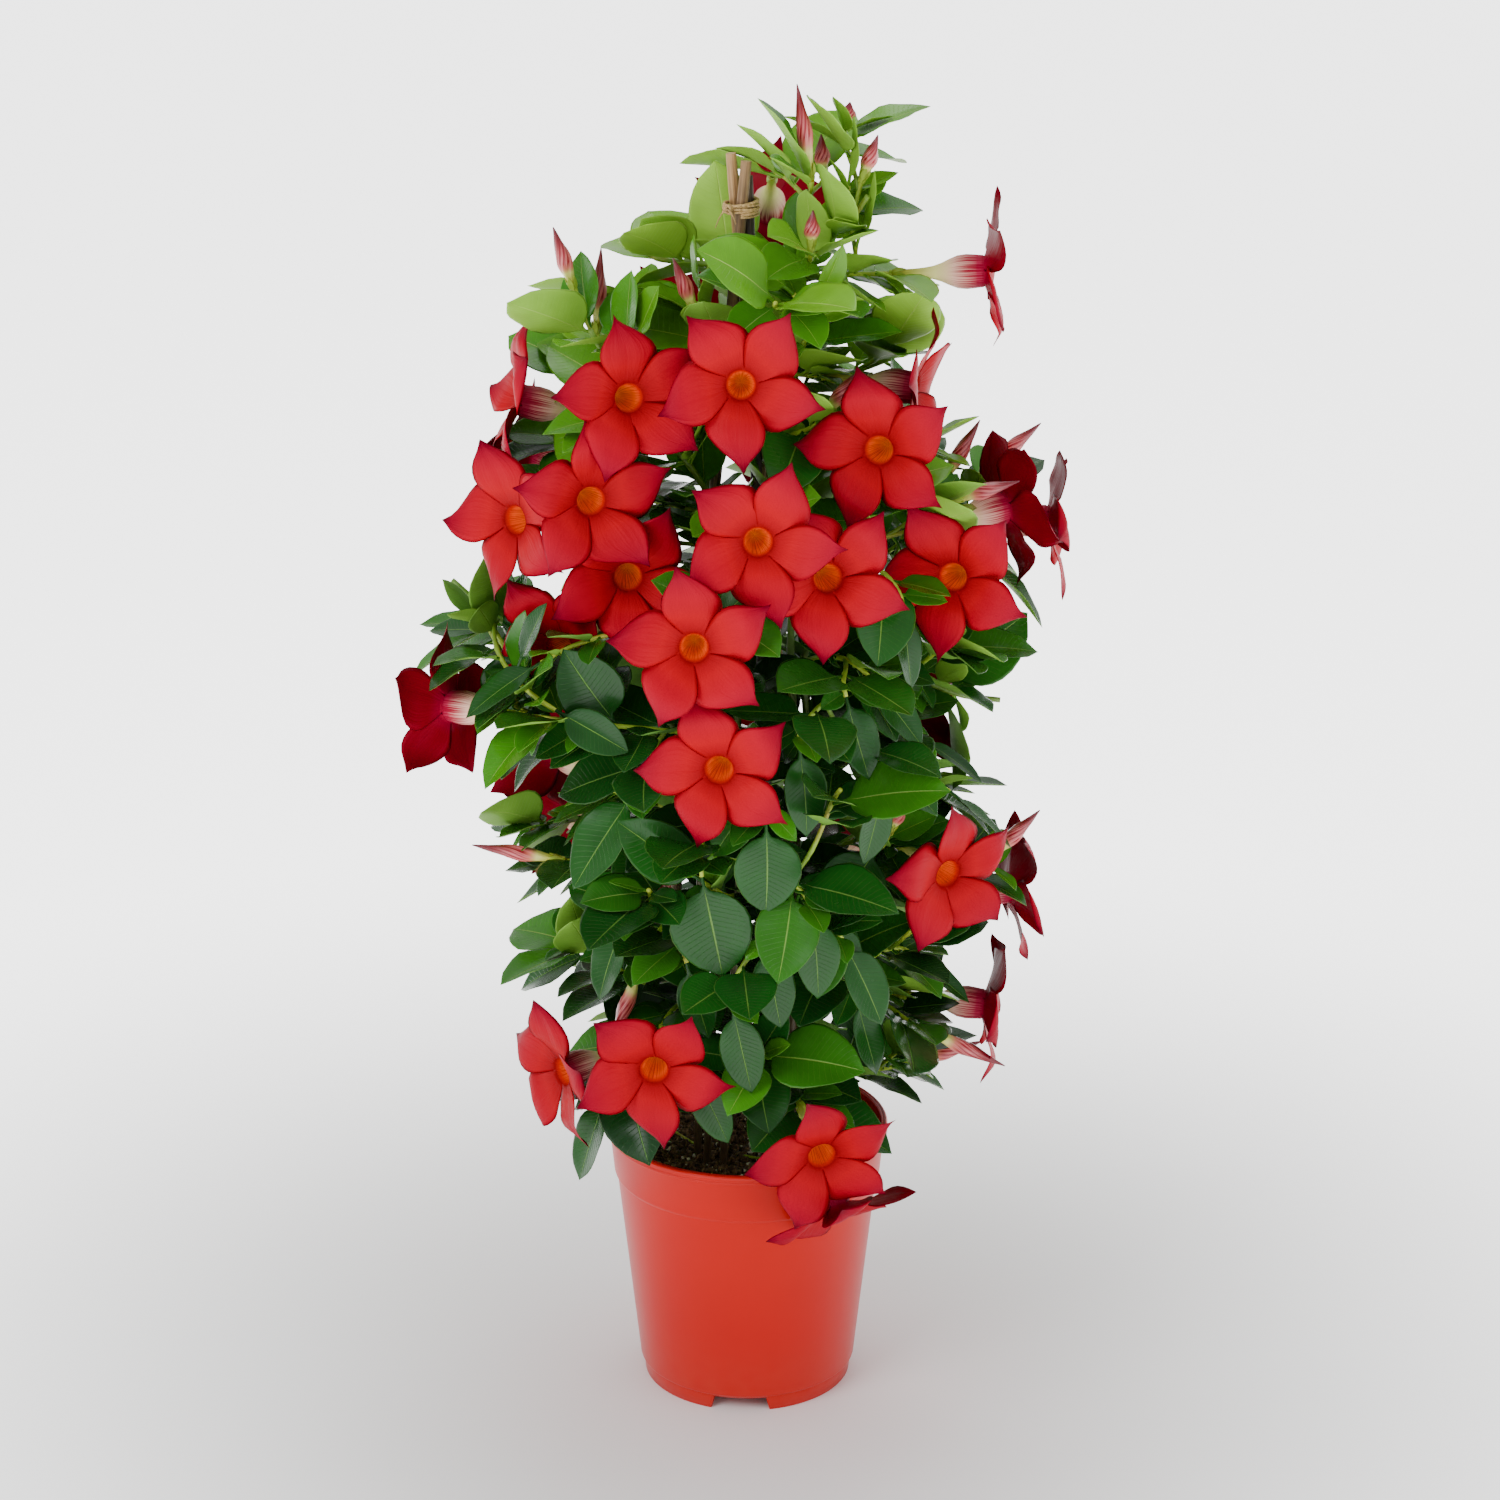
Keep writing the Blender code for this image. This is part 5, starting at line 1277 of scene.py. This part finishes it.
def leaf_skins(own, step=1):
    """Leaves as arrays: the upper skin and the lower one, each a grid of 15 rows and 9 columns a leaf,
    or of every second row and column with step 2.

    Across a row u = sin a, from -1 at the left edge to 1 at the right. With x the share of the blade's
    length, its half width is w = 1.28 width x^0.55 (1 - x)^0.8, less near x = 0.965, where its short tip
    is drawn out, and at least the stalk's. A point is base + along length t + across (w u + sway)
    + normal (fold |u|^1.3 + wave - droop length t^2 +- thickness (1 - u^2)^0.5 - rib), where the midrib
    is sunk 0.25 mm into the upper skin and stands out by 0.5 mm from the lower one.
    """
    base, along, normal = (np.array([tuple(args[k]) for _, args, _ in own])[:, None, None] for k in range(3))
    length, width, droop = (np.array([args[k] for _, args, _ in own])[:, None, None] for k in (3, 4, 5))
    age = np.array([age for _, _, age in own])[:, None, None]
    draw = np.random.default_rng(len(own))
    phase, lean, chance = draw.uniform(0, 1, (3, len(own), 1, 1))
    across = np.cross(along, normal)
    across /= np.linalg.norm(across, axis=-1, keepdims=True)
    normal = np.cross(across, along)
    t = np.array(LEAF_ROWS[::step])[None, :, None]
    u = np.sin(np.linspace(-np.pi / 2, np.pi / 2, 8 // step + 1))[None, None]
    x = np.clip((t - 0.15) / 0.85, 0, 1)
    blade = 1.28 * width * x**0.55 * (1 - x) ** 0.8 * (1 - 0.4 * np.exp(-((x - 0.965) / 0.05) ** 2))
    stalk = PETIOLE * np.where(t < 0.15, 1.0, 1 - x)
    half = np.maximum(stalk, blade)
    round_share = np.clip(1 - x / 0.08, 0, 1)
    thick = stalk * round_share + (0.3 * MM * np.clip((1 - t) / 0.05, 0, 1)) * (1 - round_share)
    fold = 0.23 * half * (1 - round_share) * np.abs(u) ** 1.3
    wave = 0.05 * half * np.sin(2 * np.pi * (t * (1.5 + lean) + phase)) * u**2 * np.sign(u)
    sway = 0.05 * length * (lean - 0.5) * np.sin(np.pi * t)
    rib = np.exp(-(u / 0.1) ** 2) * (1 - round_share) * (1 - t)
    flat = base + along * (length * t + 0 * u)[..., None] + across * (half * u + sway)[..., None]
    uv = np.stack(np.broadcast_arrays((u + 1) / 2, x), axis=-1)
    skins = []
    for side, sunk in ((1, 0.25 * MM), (-1, 0.5 * MM)):
        height = fold + wave - droop * length * t**2 + side * thick * np.sqrt(1 - u**2) - sunk * rib
        marks = np.stack(np.broadcast_arrays(age, (1 - side) / 2, chance), axis=-1)
        skins.append((flat + normal * height[..., None], uv, marks))
    return skins


def leaf_green():
    """A leaf's skin: glossy dark to light green above by its age, pale and matt below, with a light
    midrib and margin, and side veins that slant towards the tip in shallow grooves."""
    made, tree, shader = finish("leaf", Specular_IOR_Level=0.22)
    age, under, chance = marks_of(tree)
    place = put(tree, "ShaderNodeUVMap", uv_map="UVMap").outputs[0]
    place = put(tree, "ShaderNodeSeparateXYZ", {0: place}).outputs
    side = times(tree, maths(tree, "ABSOLUTE", maths(tree, "SUBTRACT", place[0], 0.5)), 2.0)
    slant = maths(tree, "SUBTRACT", times(tree, place[1], 17.0), times(tree, side, 2.8))
    vein = times(tree, maths(tree, "PINGPONG", slant, 0.5), 2.0)
    vein = times(tree, between(tree, vein, 0.84, 1.0), between(tree, side, 1.0, 0.6))
    midrib = between(tree, side, 0.036, 0.01)
    margin = between(tree, side, 0.97, 1.0)
    shade = maths(tree, "ADD", times(tree, chance, 0.16), age, clamp=True)
    top = ramp(tree, shade, {0.0: (20, 52, 24), 0.3: (30, 78, 26), 0.6: (58, 122, 20), 1.0: (104, 158, 34)})
    bottom = ramp(tree, age, {0.0: (88, 132, 56), 1.0: (138, 184, 60)})
    light = mixed(tree, age, screen(96, 140, 58), screen(176, 208, 96))
    lines = maths(tree, "MAXIMUM", times(tree, midrib, 0.6), times(tree, vein, 0.07))
    lines = maths(tree, "MAXIMUM", lines, times(tree, margin, 0.4))
    colour, mask = mottled(tree, mixed(tree, lines, mixed(tree, under, top, bottom), light), 55.0, 0.16)
    rough = maths(tree, "ADD", times(tree, under, 0.25), 0.2)
    rough = maths(tree, "ADD", times(tree, mask, 0.1), rough)
    sunk = maths(tree, "MAXIMUM", midrib, times(tree, vein, 0.35))
    groove = maths(tree, "SUBTRACT", times(tree, mask, 0.4), sunk)
    wire(tree, shader, colour, rough, groove, 0.0003)
    return made


leaf_finish = leaf_green()
for name in STEMS:
    skins = leaf_skins([leaf for leaf in leaves if leaf[0] == name])
    piece(f"{name}_leaves", skins, leaf_finish, "leaf", name)


def rind():
    """The skin of stems and shoots: brown bark low down, green above, yellow-green and a little red when
    young, with fine lengthwise ridges."""
    made, tree, shader = finish("stem_skin", Roughness=0.5)
    age = marks_of(tree)[0]
    streaks = uv_streaks(tree, 9.0, 24.0)
    colour = ramp(tree, age, {0.0: (78, 62, 42), 0.3: (84, 92, 44), 0.55: (92, 132, 40),
                              0.8: (142, 172, 48), 1.0: (176, 196, 62)})
    where = put(tree, "ShaderNodeTexCoord").outputs["Object"]
    blush = times(tree, between(tree, noise(tree, where, 70.0), 0.55, 0.75), age)
    colour = mixed(tree, times(tree, blush, 0.5), colour, screen(166, 92, 44))
    blotched, _ = mottled(tree, colour, 120.0, 0.2)
    wire(tree, shader, blotched, None, streaks, 0.0005)
    return made


def smooth_path(points):
    """A smooth curve through a path's points, six pieces between two of them, each coordinate by
    curve_through along their number."""
    spots = np.linspace(0, len(points) - 1, (len(points) - 1) * 6 + 1)
    columns = np.array([tuple(p) for p in points]).T
    return np.stack([curve_through(np.arange(len(points)), column, spots) for column in columns], axis=-1)


SHOOT_JOINT_STEP = 26 * MM


def shoot_skin(index):
    """A stem or a shoot: a round tube with a swelling of 22 percent at each joint, a bell curve along
    it. A stem tapers to its end."""
    node, points, fine = paths[index]
    if index < len(STEMS):
        path = smooth_path(points)
        radii = np.linspace(STEM_RADIUS, SHOOT_RADIUS, len(path)) * 0.94
        age = 0.6 * np.clip((path[:, 2] - 200 * MM) / (260 * MM), 0, 1)
    else:
        path = np.array([tuple(p) for p in fine])
        radii = np.full(len(path), STALK_RADIUS * 0.9)
        radii[0] = STALK_RADIUS * 0.7
        age = np.linspace(0.55, 1.0, len(path))
    step = np.concatenate([[0], np.cumsum(np.linalg.norm(np.diff(path, axis=0), axis=1))])
    joints = SHOOT_JOINT_STEP * (np.arange(max(1, int(step[-1] / SHOOT_JOINT_STEP))) + 0.8)
    radii = radii * (1 + 0.22 * np.exp(-(np.abs(step[:, None] - joints).min(axis=1) / (2.2 * MM)) ** 2))
    age = np.concatenate([age[:1], age, age[-1:]])
    return swept(path, radii, 9, (age, 0.0, 0.0))


def calyx_leaves(base, ahead, node):
    """Five small pointed sepals round the foot of a flower or a bud, pressed to it."""
    side = ahead.orthogonal().normalized()
    made = []
    for k in range(5):
        out = Matrix.Rotation(2 * math.pi * k / 5, 3, ahead) @ side
        root = base - ahead * 1.2 * MM + out * 1.1 * MM
        made.append((node, (root, (ahead + out * 0.22).normalized(), out, 8.5 * MM, 3.2 * MM, 0.05), 0.9))
    return made


def runner(pixels):
    """A thin young shoot that lies on the soil: it runs through pixels of the front view."""
    points = []
    for u, v in pixels:
        near, far = from_photo(u, v, -80), from_photo(u, v, 0)
        point = near.lerp(far, (SOIL_TOP + 2.4 * MM - near.z) / (far.z - near.z))
        points.append(point + UP * (float(soil_height(np.array(point.x), np.array(point.y))) - SOIL_TOP))
    path = smooth_path(points)
    age = np.linspace(0.8, 1.0, len(path) + 2)
    return swept(path, np.linspace(0.8, 0.5, len(path)) * MM, 8, (age, 0.0, 0.0))


RUNNERS = {"stem_1": [(660, 1124), (676, 1134), (694, 1143), (711, 1149)],
           "stem_2": [(744, 1157), (762, 1159), (780, 1152), (790, 1138)]}
rind_finish = rind()
for name in STEMS:
    skins = [shoot_skin(i) for i, path in enumerate(paths) if path[0] == name]
    if name in RUNNERS:
        skins.append(runner(RUNNERS[name]))
    sepals = []
    for _, place, _, node in blooms:
        if node == name:
            sepals += calyx_leaves(place @ Vector((0, 0, -TRUMPET)), place.to_3x3() @ UP, node)
    for node, base, tip in buds:
        if node == name:
            sepals += calyx_leaves(base, (tip - base).normalized(), node)
    if sepals:
        skins += leaf_skins(sepals, 2)
    piece(f"{name}_shoots", skins, rind_finish, "leaf", name)

# The studio. A pale floor under soft white light from a large panel at the upper left, weaker ones at
# the right and behind, and an even sky. The floor carries painted light: it glows by itself, more away
# from the pot, so it stays darker round the pot like a painted shadow. The eye stands at the height and
# tilt that the photograph was taken from.


def light(name, place, power, size):
    """A square panel of white light that looks at the middle of the plant."""
    lamp = bpy.data.lights.new(name, "AREA")
    lamp.energy = power
    lamp.size = size
    made = bpy.data.objects.new(name, lamp)
    made.location = place
    made.rotation_euler = (Vector((0, 0, 0.35)) - Vector(place)).to_track_quat("-Z", "Y").to_euler()
    bpy.context.scene.collection.objects.link(made)


def make_studio():
    """The floor, the sky, the lights and the camera."""
    bpy.ops.mesh.primitive_plane_add(size=30)
    floor = bpy.context.object
    floor.name = "studio_floor"
    made, tree, shader = finish("floor_white", Base_Color=screen(248, 248, 248), Roughness=0.7,
                                Emission_Strength=2.8)
    where = put(tree, "ShaderNodeTexCoord").outputs["Object"]
    far = put(tree, "ShaderNodeVectorMath", {0: where}, operation="LENGTH").outputs["Value"]
    # Painted light: the floor glows by itself. There is no glow within 0.1 m of the middle under the pot and
    # full glow from 0.9 m out, so the floor stays darker round the pot like a painted shadow.
    tree.links.new(between(tree, far, 0.1, 0.9), shader.inputs["Emission Color"])
    floor.data.materials.append(made)
    sky = bpy.data.worlds.new("sky")
    sky.use_nodes = True
    sky.node_tree.nodes["Background"].inputs[0].default_value = (1, 1, 1, 1)
    sky.node_tree.nodes["Background"].inputs[1].default_value = 0.8
    bpy.context.scene.world = sky
    light("key_light", (-1.5, -1.6, 1.9), 34, 1.2)
    light("fill_light", (1.9, -1.2, 1.0), 8, 1.4)
    light("top_light", (0.2, 0.9, 2.2), 16, 1.2)
    camera = bpy.data.objects.new("camera", bpy.data.cameras.new("camera"))
    camera.location = EYE
    camera.rotation_euler = (math.pi / 2 - EYE_PITCH, 0, 0)
    camera.data.sensor_width = 36
    camera.data.lens = FOCAL_PIXELS / (2 * VIEW_CENTRE) * 36
    bpy.context.scene.collection.objects.link(camera)
    bpy.context.scene.camera = camera


make_studio()
